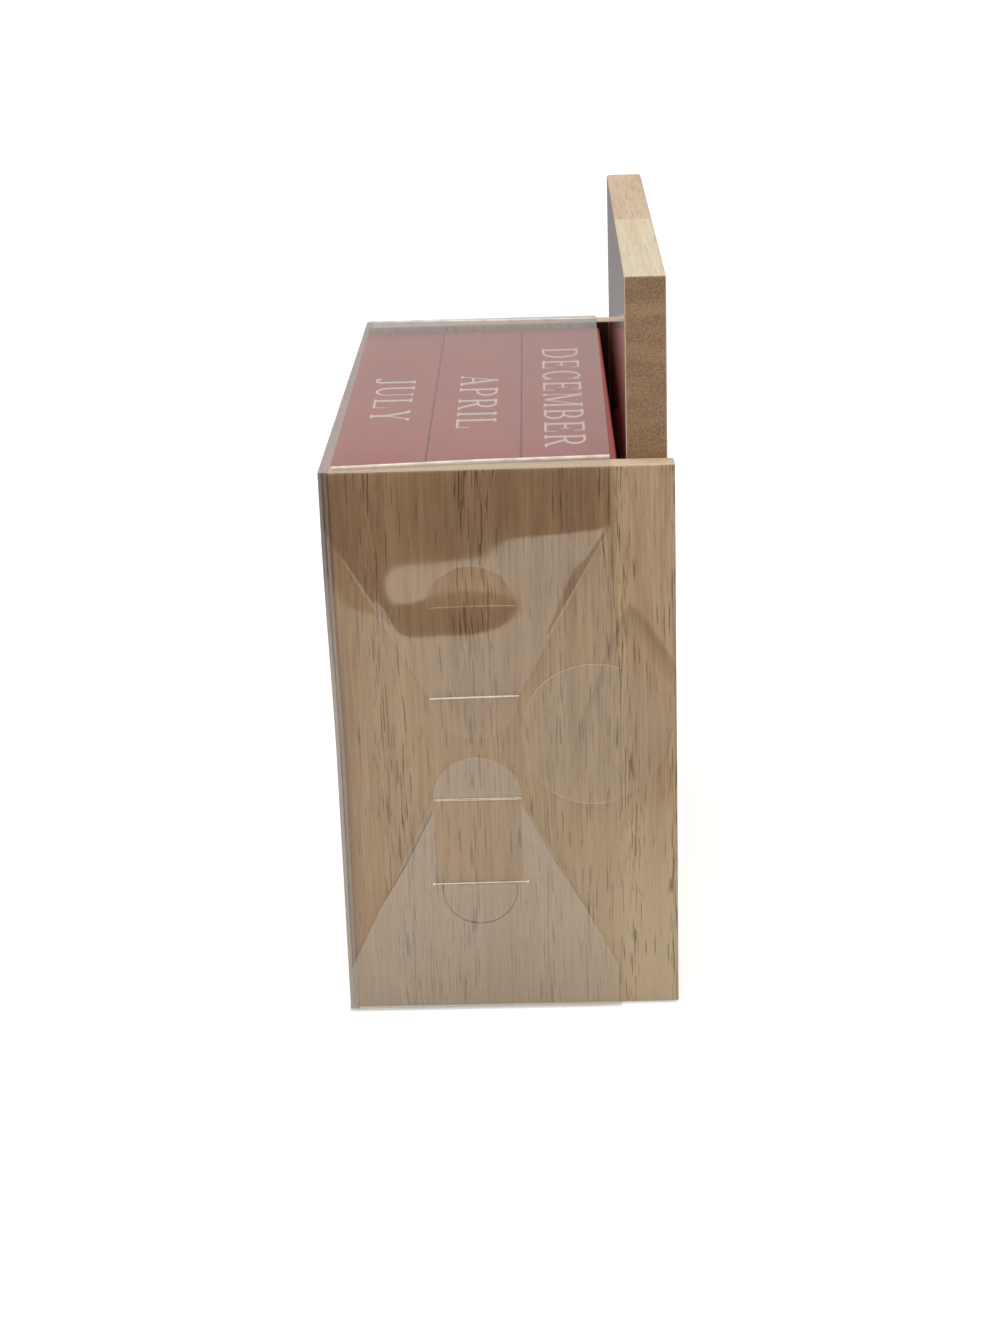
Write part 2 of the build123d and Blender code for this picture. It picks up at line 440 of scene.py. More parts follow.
@dataclass(frozen=True)
class RedPaint:
    """Satin red paint over wood, with a trace of the grain and slightly rubbed tone."""

    name: str
    shift: float
    full: Colour = (0.42, 0.055, 0.045)
    thin: Colour = (0.50, 0.090, 0.070)

    def material(self) -> bpy.types.Material:
        """Lays out the paint's nodes.

        Returns:
            The material.
        """
        recipe = Recipe(self.name)
        place = [part + self.shift for part in recipe.axes().values()]
        cloud = recipe.noise(place, (40.0, 90.0, 90.0), 3.0)
        grain = recipe.noise(place, (45.0, 900.0, 900.0))
        peel = recipe.noise(place, 1500.0, 1.0)
        colour = recipe.mix(cloud.step(0.35, 0.7) * 0.6 + grain.step(0.5, 0.75) * 0.3, self.full, self.thin)
        others = {"IOR": 1.48, "Normal": recipe.bump(grain * 0.7 + peel * 0.15, 0.12, 0.00008)}
        return recipe.surface(recipe.principled(colour, 0.36 + cloud * 0.14, others))


@dataclass(frozen=True)
class LetterPaint:
    """Off-white printed paint, thinner in places."""

    name: str = "letter_white"
    full: Colour = (0.92, 0.80, 0.75)
    thin: Colour = (0.74, 0.50, 0.46)

    def material(self) -> bpy.types.Material:
        """Lays out the paint's nodes.

        Returns:
            The material.
        """
        recipe = Recipe(self.name)
        worn = recipe.noise(recipe.axes().values(), 900.0, 3.0)
        colour = recipe.mix(worn.step(0.55, 0.8) * 0.7, self.full, self.thin)
        return recipe.surface(recipe.principled(colour, 0.42 + worn * 0.12, {"IOR": 1.48}))


@dataclass(frozen=True)
class ClearFilm:
    """Clear glossy film: see-through head on, a mirror at a glance, with a faint haze.

    Two sheets that are pressed together gleam less. The pressed patch is that place, in metres: its
    middle in Y, its half width, its lowest and its highest point. The thumb tab is a half disc: its middle
    in Y and Z, its radius, and 1 where it lies above its middle. Its weaker gleam is painted shade, which
    stands in for a tab that has sprung back a little; the mesh keeps it flat. Past a place on X at the far
    end, a pale grey milky layer lies over the film: a painted reflection of the gleam where it bends down.
    """

    name: str
    head_on: float = 0.045
    at_a_glance: float = 0.80
    haze: float = 0.004
    tint: Colour = (0.97, 0.97, 0.965)
    sheen_colour: Colour = (0.93, 0.91, 0.88)
    roughness: float = 0.06
    ripple: float = 0.00004
    pressed: tuple[float, float, float, float] | None = None
    patch_edge: float = 0.0003
    thumb_tab: tuple[float, float, float, int] | None = None
    tab_edge: float = 0.0002
    thumb_loss: float = 0.0
    glare_band_before: float | None = None
    glare_band_colour: Colour = (0.57, 0.56, 0.54)

    def material(self) -> bpy.types.Material:
        """Lays out the film's nodes.

        Returns:
            The material.
        """
        recipe = Recipe(self.name)
        x, y, z = place = tuple(recipe.axes().values())
        waves = recipe.noise(place, 60.0, 1.0)
        haze_and_glare_noise = recipe.noise(place, (700.0, 120.0, 120.0))
        glance = recipe.add("ShaderNodeLayerWeight", {"Blend": 0.5}).term("Facing")
        mirror = self.head_on + glance ** 5.0 * (self.at_a_glance - self.head_on)
        share = mirror + haze_and_glare_noise.step(0.55, 0.8) * self.haze + self.haze
        if self.pressed is not None:
            middle, half, low, high = self.pressed
            soft = self.patch_edge
            across = 1.0 - abs(y - middle).step(half - soft * 2.0, half + 0.0002)
            patch = across * z.step(low - soft, low + soft) * (1.0 - z.step(high - soft, high + soft))
            share = share * (1.0 - patch * 0.6)
        if self.thumb_tab is not None:
            middle_y, middle_z, radius, way = self.thumb_tab
            aside, above = y - middle_y, (z - middle_z) * way
            distance = (aside * aside + above * above) ** 0.5
            soft = self.tab_edge
            tab = (1.0 - distance.step(radius - soft, radius + soft)) * above.step(-soft / 2.0, soft)
            # Painted shade: the tab's gleam is cut, in place of the tilt of a sprung-back tab
            share = share * (1.0 - tab * self.thumb_loss)
        others = {"Metallic": 1.0, "Normal": recipe.bump(waves, 0.6, self.ripple)}
        gloss = recipe.principled(self.sheen_colour, self.roughness, others)
        clear = recipe.add("ShaderNodeBsdfTransparent", {"Color": self.tint})
        film = recipe.blend(share, clear, gloss)
        # Painted reflection: past the far end a pale grey milky layer is mixed over the film, standing in for
        # the gleam where the film bends down; rubbed is its share
        if self.glare_band_before is not None:
            in_glare_band = 1.0 - x.step(self.glare_band_before, self.glare_band_before + 0.0008)
            rubbed = in_glare_band * (0.22 + haze_and_glare_noise.step(0.3, 0.7) * 0.08)
            film = recipe.blend(rubbed, film, recipe.principled(self.glare_band_colour, 0.5))
        return recipe.surface(film)


@dataclass(frozen=True)
class FilmEdge:
    """Painted light on beads along a cut or creased film edge: a milky off-white is a painted highlight, a
    grey-brown is painted shade. It is broken up along its length.
    """

    name: str
    share: float
    colour: Colour = (1.0, 0.95, 0.86)
    # Higher up the bead turns to a second colour: painted shade, darker where the film reflects the dim room
    upper_colour: Colour | None = None
    upper_from: float = 0.060
    upper_whole: float = 0.098
    unevenness: float = 0.35
    ior: float = 1.5

    def material(self) -> bpy.types.Material:
        """Lays out the edge's nodes.

        Returns:
            The material.
        """
        recipe = Recipe(self.name)
        axes = recipe.axes()
        breaks = recipe.noise(axes.values(), 260.0)
        share = self.share * (1.0 - self.unevenness + breaks.step(0.3, 0.6) * self.unevenness)
        colour = self.colour
        if self.upper_colour is not None:
            upper = axes["Z"].step(self.upper_from, self.upper_whole)
            colour = recipe.mix(upper, self.colour, self.upper_colour)
        milky = recipe.principled(colour, 0.32, {"IOR": self.ior})
        return recipe.surface(recipe.blend(share, recipe.add("ShaderNodeBsdfTransparent"), milky))


@dataclass(frozen=True)
class StudioFloor:
    """Pale floor that stays white to the camera around the object's soft shadow."""

    name: str = "studio_floor"
    white: Colour = (0.82, 0.82, 0.82)
    room: Colour = (0.03, 0.03, 0.03)
    lift: Colour = (0.50, 0.50, 0.50)
    sheet_end: float = 0.345
    far_end: float = 0.30
    far_share: float = 0.62

    def material(self) -> bpy.types.Material:
        """Lays out the floor's nodes. Past the white sheet's two ends, reflections see the dim room.

        Returns:
            The material.
        """
        recipe = Recipe(self.name)
        path = recipe.add("ShaderNodeLightPath")
        x = recipe.axes()["X"]
        beyond = x.step(self.sheet_end, self.sheet_end + 0.002)
        behind = (x * -1.0).step(self.far_end, self.far_end + 0.06) * self.far_share
        colour = recipe.mix(path.term("Is Glossy Ray") * (beyond + behind), self.white, self.room)
        glow = recipe.mix(path.term("Is Camera Ray"), (0.0, 0.0, 0.0), self.lift)
        others = {"Emission Color": glow, "Emission Strength": 1.0}
        return recipe.surface(recipe.principled(colour, 0.9, others))


def fuse_flat(
    outlines: Sequence[Outline], holes: Sequence[Outline] = (), inner: Sequence[Point] = ()
) -> tuple[list[Point], list[tuple]]:
    """Fuses overlapping flat outlines into one set of triangles.

    Args:
        outlines: Closed outlines, each wound anticlockwise.
        holes: Closed outlines that are left open.
        inner: Extra points, for a finer mesh.

    Returns:
        The points in use and the triangles that lie inside an outline and outside every hole.
    """
    points: list[Point] = []
    faces: list[list[int]] = []
    for outline in (*outlines, *holes):
        start = len(points)
        points.extend(outline)
        faces.append(list(range(start, start + len(outline))))
    points.extend(inner)
    flat = [Vector(point) for point in points]
    found, _, triangles, _, _, owners = delaunay_2d_cdt(flat, [], faces, 0, CLOSE, True)
    solid = range(len(outlines))
    kept = [tuple(t) for t, owner in zip(triangles, owners) if owner and all(o in solid for o in owner)]
    used = sorted({i for corners in kept for i in corners})
    renumbered = {old: new for new, old in enumerate(used)}
    triangles = [tuple(renumbered[i] for i in corners) for corners in kept]
    return [(found[i].x, found[i].y) for i in used], triangles


def thick_mesh(
    name: str,
    points: Sequence[Point],
    triangles: Sequence[tuple],
    place: Callable[[float, float, float], Vector],
    depth: float,
) -> bpy.types.Mesh:
    """Gives flat triangles a thickness and their place in space.

    Args:
        name: The mesh's name.
        points: Flat points.
        triangles: Anticlockwise triangles of those points.
        place: Turns a flat point and a height above the sheet's inner side into a place.
        depth: The sheet's thickness.

    Returns:
        A closed mesh.
    """
    count = len(points)
    vertices = [place(u, v, 0.0) for u, v in points] + [place(u, v, depth) for u, v in points]
    faces: list[tuple] = [tuple(reversed(t)) for t in triangles]
    faces += [tuple(i + count for i in t) for t in triangles]
    edges = dict.fromkeys(edge for t in triangles for edge in zip(t, t[1:] + t[:1]))
    outer = [(a, b) for a, b in edges if (b, a) not in edges]
    faces += [(a, b, b + count, a + count) for a, b in outer]
    mesh = bpy.data.meshes.new(name)
    mesh.from_pydata(vertices, [], faces)
    for polygon in mesh.polygons:
        polygon.use_smooth = polygon.index < 2 * len(triangles)
    rim = {frozenset((a + lift, b + lift)) for a, b in outer for lift in (0, count)}
    for edge in mesh.edges:
        edge.use_edge_sharp = frozenset(edge.vertices) in rim
    mesh.update()
    return mesh


def show(name: str, data: bpy.types.ID) -> bpy.types.Object:
    """Puts a new object in the scene."""
    item = bpy.data.objects.new(name, data)
    bpy.context.scene.collection.objects.link(item)
    return item


def new_piece(mesh: bpy.types.Mesh, material: bpy.types.Material, body: str, slot: str) -> bpy.types.Object:
    """Puts a mesh in the scene.

    Args:
        mesh: The piece's mesh.
        material: Its only finish.
        body: The body that it rides on.
        slot: Its material slot in the record. Not used.

    Returns:
        The piece.
    """
    piece = show(mesh.name, mesh)
    piece.data.materials.clear()
    piece.data.materials.append(material)
    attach(piece, body)
    log.info("piece %s on %s, %d faces", piece.name, body, len(mesh.polygons))
    return piece


def dress(node: str, material: bpy.types.Material) -> None:
    """Gives a CAD node its finish."""
    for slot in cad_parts[node].material_slots:
        slot.material = material
    log.info("node %s is %s", node, material.name)


@dataclass
class Pen:
    """Draws serif capitals and figures as flat outlines, in units of the cap height."""

    serif: float = 0.075
    arc_steps: int = 20
    outlines: list[Outline] = field(default_factory=list)

    def shape(self, *corners: Point) -> None:
        """A closed shape with those corners."""
        self.outlines.append(list(corners))

    def box(self, left: float, low: float, right: float, high: float) -> None:
        """A rectangle."""
        self.shape((left, low), (right, low), (right, high), (left, high))

    def bar(self, left: float, right: float, level: float) -> None:
        """A level hairline."""
        self.box(left, level, right, level + HAIR)

    def tick(self, left: float, low: float, high: float) -> None:
        """An upright hairline without serifs."""
        self.box(left, low, left + HAIR, high)

    def foot(self, left: float, right: float, level: float) -> None:
        """A serif under or over a stroke that stands between left and right."""
        self.bar(left - self.serif, right + self.serif, 0.0 if level == 0.0 else 1.0 - HAIR)

    def upright(self, left: float, low: float = 0.0, high: float = 1.0, width: float = STEM) -> None:
        """An upright stroke with a serif wherever it reaches the line or the cap height.

        Args:
            left: Where it starts along the line.
            low: Its foot.
            high: Its head.
            width: Its width.
        """
        self.box(left, low, left + width, high)
        if low == 0.0:
            self.foot(left, left + width, 0.0)
        if high == 1.0:
            self.foot(left, left + width, 1.0)

    def slope(self, start: Point, end: Point, width: float) -> None:
        """A sloping stroke between two heights.

        Args:
            start: The middle of one end.
            end: The middle of the other.
            width: Its width along the line.
        """
        (x0, y0), (x1, y1) = sorted((start, end), key=lambda p: p[1])
        half = width / 2
        self.shape((x0 - half, y0), (x0 + half, y0), (x1 + half, y1), (x1 - half, y1))

    def arc(
        self, centre: Point, reach: Point, start: float, end: float, side: float = STEM, cap: float = HAIR
    ) -> None:
        """Part of an oval stroke.

        Args:
            centre: Its middle.
            reach: Outer half width and half height.
            start: First angle in degrees.
            end: Last angle, greater than the first.
            side: Stroke width at the sides.
            cap: Stroke width at top and bottom.
        """
        cx, cy = centre
        outer_x, outer_y = reach
        count = max(3, round(self.arc_steps * (end - start) / 180))
        angles = [math.radians(start + (end - start) * i / count) for i in range(count + 1)]
        outer = [(cx + outer_x * math.cos(a), cy + outer_y * math.sin(a)) for a in angles]
        inner = [(cx + (outer_x - side) * math.cos(a), cy + (outer_y - cap) * math.sin(a)) for a in angles]
        self.shape(*outer, *inner[::-1])

    def oval(self, centre: Point, reach: Point, side: float = STEM) -> None:
        """A whole oval stroke, as two halves."""
        self.arc(centre, reach, 0, 180, side)
        self.arc(centre, reach, 180, 360, side)

    def bowl(self, left: float, low: float, right: float, high: float) -> None:
        """A right-hand bowl that closes on an upright at left.

        Args:
            left: Where it leaves the upright.
            low: Its lowest height.
            right: How far it reaches.
            high: Its greatest height.
        """
        turn = left + (right - left) * 0.42
        self.bar(left, turn, low)
        self.box(left, high - HAIR, turn, high)
        self.arc((turn, (low + high) / 2), (right - turn, (high - low) / 2), -90, 90)

    def arm(self, left: float, right: float, level: float, beak: float) -> None:
        """A level hairline arm that ends in a beak.

        Args:
            left: Where it starts.
            right: Where it ends.
            level: Its lower side.
            beak: How far the beak reaches up, or down where it is negative.
        """
        self.bar(left, right, level)
        low, high = sorted((level + HAIR / 2, level + HAIR / 2 + beak))
        self.box(right - HAIR * 0.8, low, right, high)

    def ball(self, centre: Point, radius: float) -> None:
        """A round terminal."""
        self.arc(centre, (radius, radius), 0, 360, radius * 0.999, radius * 0.999)


# Each character's width and strokes: a method of the pen, then what it is given, in cap heights
GLYPHS: dict[str, tuple[float, tuple[tuple, ...]]] = {
    "A": (1.03, (
        (Pen.slope, (0.52, 1.0), (0.09, 0.0), FINE), (Pen.slope, (0.48, 1.0), (0.88, 0.0), BROAD),
        (Pen.bar, 0.22, 0.74, 0.30), (Pen.foot, 0.06, 0.14, 0.0), (Pen.foot, 0.80, 0.96, 0.0),
    )),
    "B": (0.93, (
        (Pen.upright, 0.08), (Pen.bowl, 0.08, 0.0, 0.90, 0.53), (Pen.bowl, 0.08, 0.53 - HAIR, 0.82, 1.0),
    )),
    "C": (0.95, (
        (Pen.arc, (0.52, 0.5), (0.50, 0.515), 42, 318, ROUND), (Pen.tick, 0.84, 0.66, 1.0),
        (Pen.tick, 0.84, 0.0, 0.26),
    )),
    "D": (1.12, (
        (Pen.upright, 0.08), (Pen.bar, 0.08, 0.55, 0.0), (Pen.box, 0.08, 1.0 - HAIR, 0.55, 1.0),
        (Pen.arc, (0.52, 0.5), (0.56, 0.5), -90, 90, ROUND),
    )),
    "E": (0.90, (
        (Pen.upright, 0.08), (Pen.arm, 0.08, 0.86, 0.0, 0.26), (Pen.arm, 0.08, 0.80, 1.0 - HAIR, -0.24),
        (Pen.bar, 0.2, 0.60, 0.49), (Pen.box, 0.56, 0.39, 0.60, 0.65),
    )),
    "F": (0.84, (
        (Pen.upright, 0.08), (Pen.arm, 0.08, 0.80, 1.0 - HAIR, -0.24), (Pen.bar, 0.2, 0.60, 0.47),
        (Pen.box, 0.56, 0.37, 0.60, 0.63),
    )),
    "G": (1.05, (
        (Pen.arc, (0.52, 0.5), (0.50, 0.515), 42, 325, ROUND), (Pen.tick, 0.84, 0.68, 1.0),
        (Pen.box, 0.78, 0.10, 0.78 + STEM, 0.44), (Pen.bar, 0.68, 1.02, 0.42),
    )),
    "H": (1.08, ((Pen.upright, 0.08), (Pen.upright, 0.84), (Pen.bar, 0.1, 0.9, 0.48))),
    "I": (0.34, ((Pen.upright, 0.09),)),
    "J": (0.60, (
        (Pen.upright, 0.34, 0.12), (Pen.arc, (0.20, 0.12), (0.295, 0.20), -125, 0),
        (Pen.ball, (0.06, 0.0), 0.085),
    )),
    "L": (0.90, ((Pen.upright, 0.08), (Pen.arm, 0.08, 0.86, 0.0, 0.30))),
    "M": (1.36, (
        (Pen.upright, 0.10, 0.0, 1.0, HAIR), (Pen.upright, 1.10),
        (Pen.slope, (0.16, 1.0), (0.64, 0.05), BROAD), (Pen.slope, (1.16, 1.0), (0.66, 0.05), FINE),
    )),
    "N": (1.10, (
        (Pen.upright, 0.10, 0.0, 1.0, HAIR), (Pen.upright, 0.92, 0.0, 1.0, HAIR),
        (Pen.slope, (0.14, 1.0), (0.92, 0.0), BROAD),
    )),
    "O": (1.10, ((Pen.oval, (0.54, 0.5), (0.52, 0.515), ROUND),)),
    "P": (0.88, ((Pen.upright, 0.08), (Pen.bowl, 0.08, 0.44, 0.84, 1.0))),
    "R": (1.02, (
        (Pen.upright, 0.08), (Pen.bowl, 0.08, 0.47, 0.84, 1.0),
        (Pen.slope, (0.46, 0.50), (0.88, 0.0), BROAD), (Pen.foot, 0.84, 0.96, 0.0),
    )),
    "S": (0.80, (
        (Pen.arc, (0.40, 0.745), (0.32, 0.27), 40, 250, SLIM),
        (Pen.arc, (0.38, 0.26), (0.36, 0.275), -140, 70, SLIM),
        (Pen.shape, (0.12, 0.60), (0.52, 0.36), (0.66, 0.40), (0.24, 0.66)), (Pen.tick, 0.60, 0.72, 1.0),
        (Pen.tick, 0.06, 0.0, 0.30),
    )),
    "T": (1.0, (
        (Pen.box, 0.42, 0.0, 0.42 + STEM, 1.0), (Pen.foot, 0.42, 0.42 + STEM, 0.0),
        (Pen.box, 0.04, 1.0 - HAIR, 0.96, 1.0), (Pen.box, 0.04, 0.72, 0.04 + HAIR * 0.8, 1.0),
        (Pen.box, 0.96 - HAIR * 0.8, 0.72, 0.96, 1.0),
    )),
    "U": (1.02, (
        (Pen.upright, 0.09, 0.32), (Pen.upright, 0.84, 0.32, 1.0, HAIR),
        (Pen.arc, (0.4965, 0.33), (0.4065, 0.345), 180, 270, STEM, FINE),
        (Pen.arc, (0.4965, 0.33), (0.4065, 0.345), 270, 360, HAIR, FINE),
    )),
    "V": (1.03, (
        (Pen.slope, (0.12, 1.0), (0.52, 0.0), BROAD), (Pen.slope, (0.92, 1.0), (0.50, 0.0), FINE),
        (Pen.foot, 0.06, 0.18, 1.0), (Pen.foot, 0.89, 0.95, 1.0),
    )),
    "W": (1.40, (
        (Pen.slope, (0.12, 1.0), (0.42, 0.0), BROAD), (Pen.slope, (0.70, 1.0), (0.40, 0.0), FINE),
        (Pen.slope, (0.66, 1.0), (0.98, 0.0), BROAD), (Pen.slope, (1.28, 1.0), (0.96, 0.0), FINE),
        (Pen.foot, 0.06, 0.18, 1.0), (Pen.foot, 0.60, 0.74, 1.0), (Pen.foot, 1.25, 1.31, 1.0),
    )),
    "Y": (0.96, (
        (Pen.upright, 0.40, 0.0, 0.46), (Pen.slope, (0.12, 1.0), (0.48, 0.42), BROAD),
        (Pen.slope, (0.86, 1.0), (0.50, 0.42), FINE), (Pen.foot, 0.06, 0.18, 1.0),
        (Pen.foot, 0.83, 0.89, 1.0),
    )),
    "0": (0.72, ((Pen.oval, (0.36, 0.5), (0.34, 0.515)),)),
    "1": (0.52, (
        (Pen.box, 0.22, 0.0, 0.22 + STEM, 1.0), (Pen.foot, 0.16, 0.28 + STEM, 0.0),
        (Pen.slope, (0.30, 1.0), (0.08, 0.84), HAIR * 2),
    )),
    "2": (0.70, (
        (Pen.arc, (0.34, 0.70), (0.31, 0.315), -20, 165),
        (Pen.slope, (0.59, 0.62), (0.10, 0.04), HAIR * 2.2), (Pen.box, 0.04, 0.0, 0.66, HAIR * 1.8),
        (Pen.box, 0.66 - HAIR, 0.0, 0.66, 0.26), (Pen.ball, (0.12, 0.74), 0.085),
    )),
    "3": (0.70, (
        (Pen.arc, (0.32, 0.755), (0.29, 0.26), -90, 160, SLIM),
        (Pen.arc, (0.32, 0.27), (0.33, 0.285), -160, 90), (Pen.ball, (0.12, 0.80), 0.08),
        (Pen.ball, (0.10, 0.19), 0.085),
    )),
    "4": (0.80, (
        (Pen.box, 0.44, 0.0, 0.44 + STEM, 1.0), (Pen.foot, 0.44, 0.44 + STEM, 0.0),
        (Pen.slope, (0.48, 1.0), (0.06, 0.28), HAIR * 1.4), (Pen.box, 0.02, 0.24, 0.76, 0.24 + FINE),
    )),
    "5": (0.70, (
        (Pen.tick, 0.12, 0.52, 1.0), (Pen.box, 0.12, 1.0 - HAIR * 1.8, 0.60, 1.0),
        (Pen.arc, (0.32, 0.31), (0.33, 0.325), -155, 135), (Pen.ball, (0.10, 0.20), 0.085),
    )),
    "6": (0.74, (
        (Pen.oval, (0.36, 0.31), (0.33, 0.325)), (Pen.arc, (0.60, 0.31), (0.57, 0.70), 105, 180),
        (Pen.ball, (0.53, 0.91), 0.08),
    )),
    "7": (0.72, (
        (Pen.box, 0.06, 1.0 - HAIR * 1.8, 0.68, 1.0), (Pen.tick, 0.06, 0.76, 1.0),
        (Pen.slope, (0.64, 1.0), (0.26, 0.0), STEM),
    )),
    "8": (0.72, (
        (Pen.oval, (0.36, 0.75), (0.28, 0.265), SLIM), (Pen.oval, (0.36, 0.265), (0.33, 0.28), SLIM),
    )),
}


@dataclass
class Lettering:
    """Words or figures painted on the faces of one block.

    The block is centred in its node's box. It has its own half sizes, and it may stand turned about
    the upright line through its middle.
    """

    node: str
    half: Vector
    cap_height: float
    spacing: float
    stretch: float
    turn: float = 0.0
    top_shift: Point = (0.0, 0.0)
    rise: float = 0.02 * MM
    sink: float = 0.02 * MM

    def outlines(self, word: str) -> tuple[list[Outline], float]:
        """Draws a word.

        Args:
            word: Capitals or figures.

        Returns:
            Its outlines on the base line and its whole width, in cap heights.
        """
        everything: list[Outline] = []
        left = 0.0
        for letter in word:
            pen = Pen()
            width, strokes = GLYPHS[letter]
            for stroke, *values in strokes:
                stroke(pen, *values)
            everything += [[(left + x, y) for x, y in outline] for outline in pen.outlines]
            left += width + self.spacing
        return everything, left - self.spacing

    def face_mesh(self, face: Face, word: str) -> bpy.types.Mesh:
        """Draws one word on one face.

        Args:
            face: The block's face.
            word: Capitals or figures.

        Returns:
            A closed mesh about the block's middle, before it is turned.
        """
        outward, reading, up = (Vector(v) for v in face.value)
        surface = Vector(a * b for a, b in zip(outward, self.half))
        if face is Face.TOP:
            surface += reading * self.top_shift[0] + up * self.top_shift[1]
        outlines, width = self.outlines(word)
        points, triangles = fuse_flat([anticlockwise(o) for o in outlines])

        def place(u: float, v: float, height: float) -> Vector:
            """Places a flat point on this face.

            Args:
                u: Along the word, in cap heights.
                v: Above its base line, in cap heights.
                height: Above the mesh's inner side, in metres.

            Returns:
                The place.
            """
            across = (u - width / 2) * self.cap_height * self.stretch
            upward = (v - 0.5) * self.cap_height
            return surface + reading * across + up * upward + outward * (height - self.sink)

        return thick_mesh("face", points, triangles, place, self.rise + self.sink)

    def paint(self, words: dict[Face, str], material: bpy.types.Material) -> bpy.types.Object:
        """Paints a word on each named face.

        Args:
            words: The word for each face.
            material: The letters' paint.

        Returns:
            One piece with all of the block's letters.
        """
        low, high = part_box(self.node)
        stand = Matrix.Translation((low + high) / 2) @ Matrix.Rotation(self.turn, 4, "Z")
        vertices: list[Vector] = []
        faces: list[tuple] = []
        for face, word in words.items():
            mesh = self.face_mesh(face, word)
            start = len(vertices)
            vertices += [stand @ v.co for v in mesh.vertices]
            faces += [tuple(start + i for i in p.vertices) for p in mesh.polygons]
            bpy.data.meshes.remove(mesh)
        mesh = bpy.data.meshes.new(f"{self.node}_letters")
        mesh.from_pydata(vertices, [], faces)
        mesh.update()
        return new_piece(mesh, material, self.node, "red_paint")


def anticlockwise(outline: Outline) -> Outline:
    """The outline, turned round if it runs clockwise."""
    area = sum(a[0] * b[1] - b[0] * a[1] for a, b in zip(outline, outline[1:] + outline[:1]))
    return outline if area > 0 else outline[::-1]


@dataclass
class WoodenCase:
    """The two side panels, base, shelf, back board and dowels."""

    def dress(self) -> None:
        """Gives each board its own cut of wood."""
        tan = {
            "pale": (0.600, 0.430, 0.262),
            "mid": (0.505, 0.347, 0.202),
            "dark": (0.400, 0.256, 0.140),
            "end_pale": (0.82, 0.645, 0.46),
            "end_dark": (0.64, 0.47, 0.31),
        }
        ends = {"end_pale": (0.43, 0.27, 0.15), "end_dark": (0.24, 0.14, 0.07)}
        cream = {"pale": (0.80, 0.68, 0.49), "mid": (0.745, 0.63, 0.445), "dark": (0.66, 0.53, 0.355), **ends}
        peach = {"pale": (0.70, 0.54, 0.38), "mid": (0.655, 0.49, 0.33), "dark": (0.56, 0.40, 0.26), **ends}
        painted = {"painted_front": (0.34, 0.05, 0.04), "pore_share": 0.2}
        # inward picks each side panel's inner face, which gets painted shade in the gap beside the back board
        seen = {"arch": (0.0234, 0.0812), "cloud": (0.026, 0.010), "inward": -1}
        hidden = {"arch": (-0.012, 0.060), "inward": 1}
        upright, level = Grain.ALONG_Z, Grain.ALONG_X
        boards = {
            "right_side_panel": Rubberwood("wood_right_side", upright, shift=1.31, **seen, **tan),
            "left_side_panel": Rubberwood("wood_left_side", upright, shift=4.77, **hidden, **tan),
            "base_board": Rubberwood("wood_base", level, shift=2.53, **tan),
            "shelf_board": Rubberwood("wood_shelf", level, shift=3.19, **tan),
            "back_board_right_stave": Rubberwood("wood_right_stave", level, shift=5.23, **painted, **cream),
            "back_board_left_stave": Rubberwood("wood_left_stave", level, shift=6.11, **painted, **peach),
        }
        for node, board in boards.items():
            dress(node, board.material())
        dowel = Rubberwood("wood_dowels", level, shift=7.4, **cream).material()
        for node in ("base_dowels", "shelf_dowels", "back_board_dowels"):
            dress(node, dowel)


# What the blocks say, front, top, rear and bottom, and on a cube right and left too. One face of the
# middle weekday bar is left bare, and the 6 is also the 9.
BARS = {
    "month_bar_front": ("JUNE", "JULY", "AUGUST", "MAY"),
    "month_bar_middle": ("MARCH", "APRIL", "JANUARY", "FEBRUARY"),
    "month_bar_rear": ("NOVEMBER", "DECEMBER", "SEPTEMBER", "OCTOBER"),
    "weekday_bar_front": ("SUNDAY", "MONDAY", "TUESDAY", "WEDNESDAY"),
    "weekday_bar_middle": ("THURSDAY", "FRIDAY", "SATURDAY"),
}
CUBES = {"date_cube_left": "234015", "date_cube_right": "170268"}

# How far the words seen from above stand off their faces' middles, along the bar and across it
SHIFTS = {
    "month_bar_front": (4.2 * MM, 0.4 * MM),
    "month_bar_middle": (7.7 * MM, 0.0),
    "month_bar_rear": (3.2 * MM, -0.5 * MM),
}


@dataclass
class Blocks:
    """Month bars, date cubes and weekday bars, with what is painted on them."""

    cap_height: float = 7.8 * MM
    figure_height: float = 34.0 * MM
    spacing: float = 0.28
    stretch: float = 1.09
    bar_half: Vector = field(default_factory=lambda: Vector((121.3, 17.5, 17.5)) * MM / 2)
    cube_half: Vector = field(default_factory=lambda: Vector((52.7, 52.7, 52.7)) * MM / 2)
    month_turn: float = math.atan2(0.4, 121.3 / 2)

    def build(self) -> None:
        """Paints the blocks and their words."""
        white = LetterPaint().material()
        sides = (Face.FRONT, Face.TOP, Face.REAR, Face.BOTTOM)
        letters = {"cap_height": self.cap_height, "spacing": self.spacing, "stretch": self.stretch}
        for number, (node, words) in enumerate(BARS.items()):
            dress(node, RedPaint(f"red_{node}", 0.37 * number).material())
            turn = self.month_turn if node in SHIFTS else 0.0
            shift = SHIFTS.get(node, (0.0, 0.0))
            lettering = Lettering(node, self.bar_half, turn=turn, top_shift=shift, **letters)
            lettering.paint(dict(zip(sides, words)), white)
        for number, (node, figures) in enumerate(CUBES.items()):
            dress(node, RedPaint(f"red_{node}", 2.1 + 0.41 * number).material())
            lettering = Lettering(node, self.cube_half, self.figure_height, 0.1, 1.0)
            lettering.paint(dict(zip((*sides, Face.RIGHT, Face.LEFT), figures)), white)


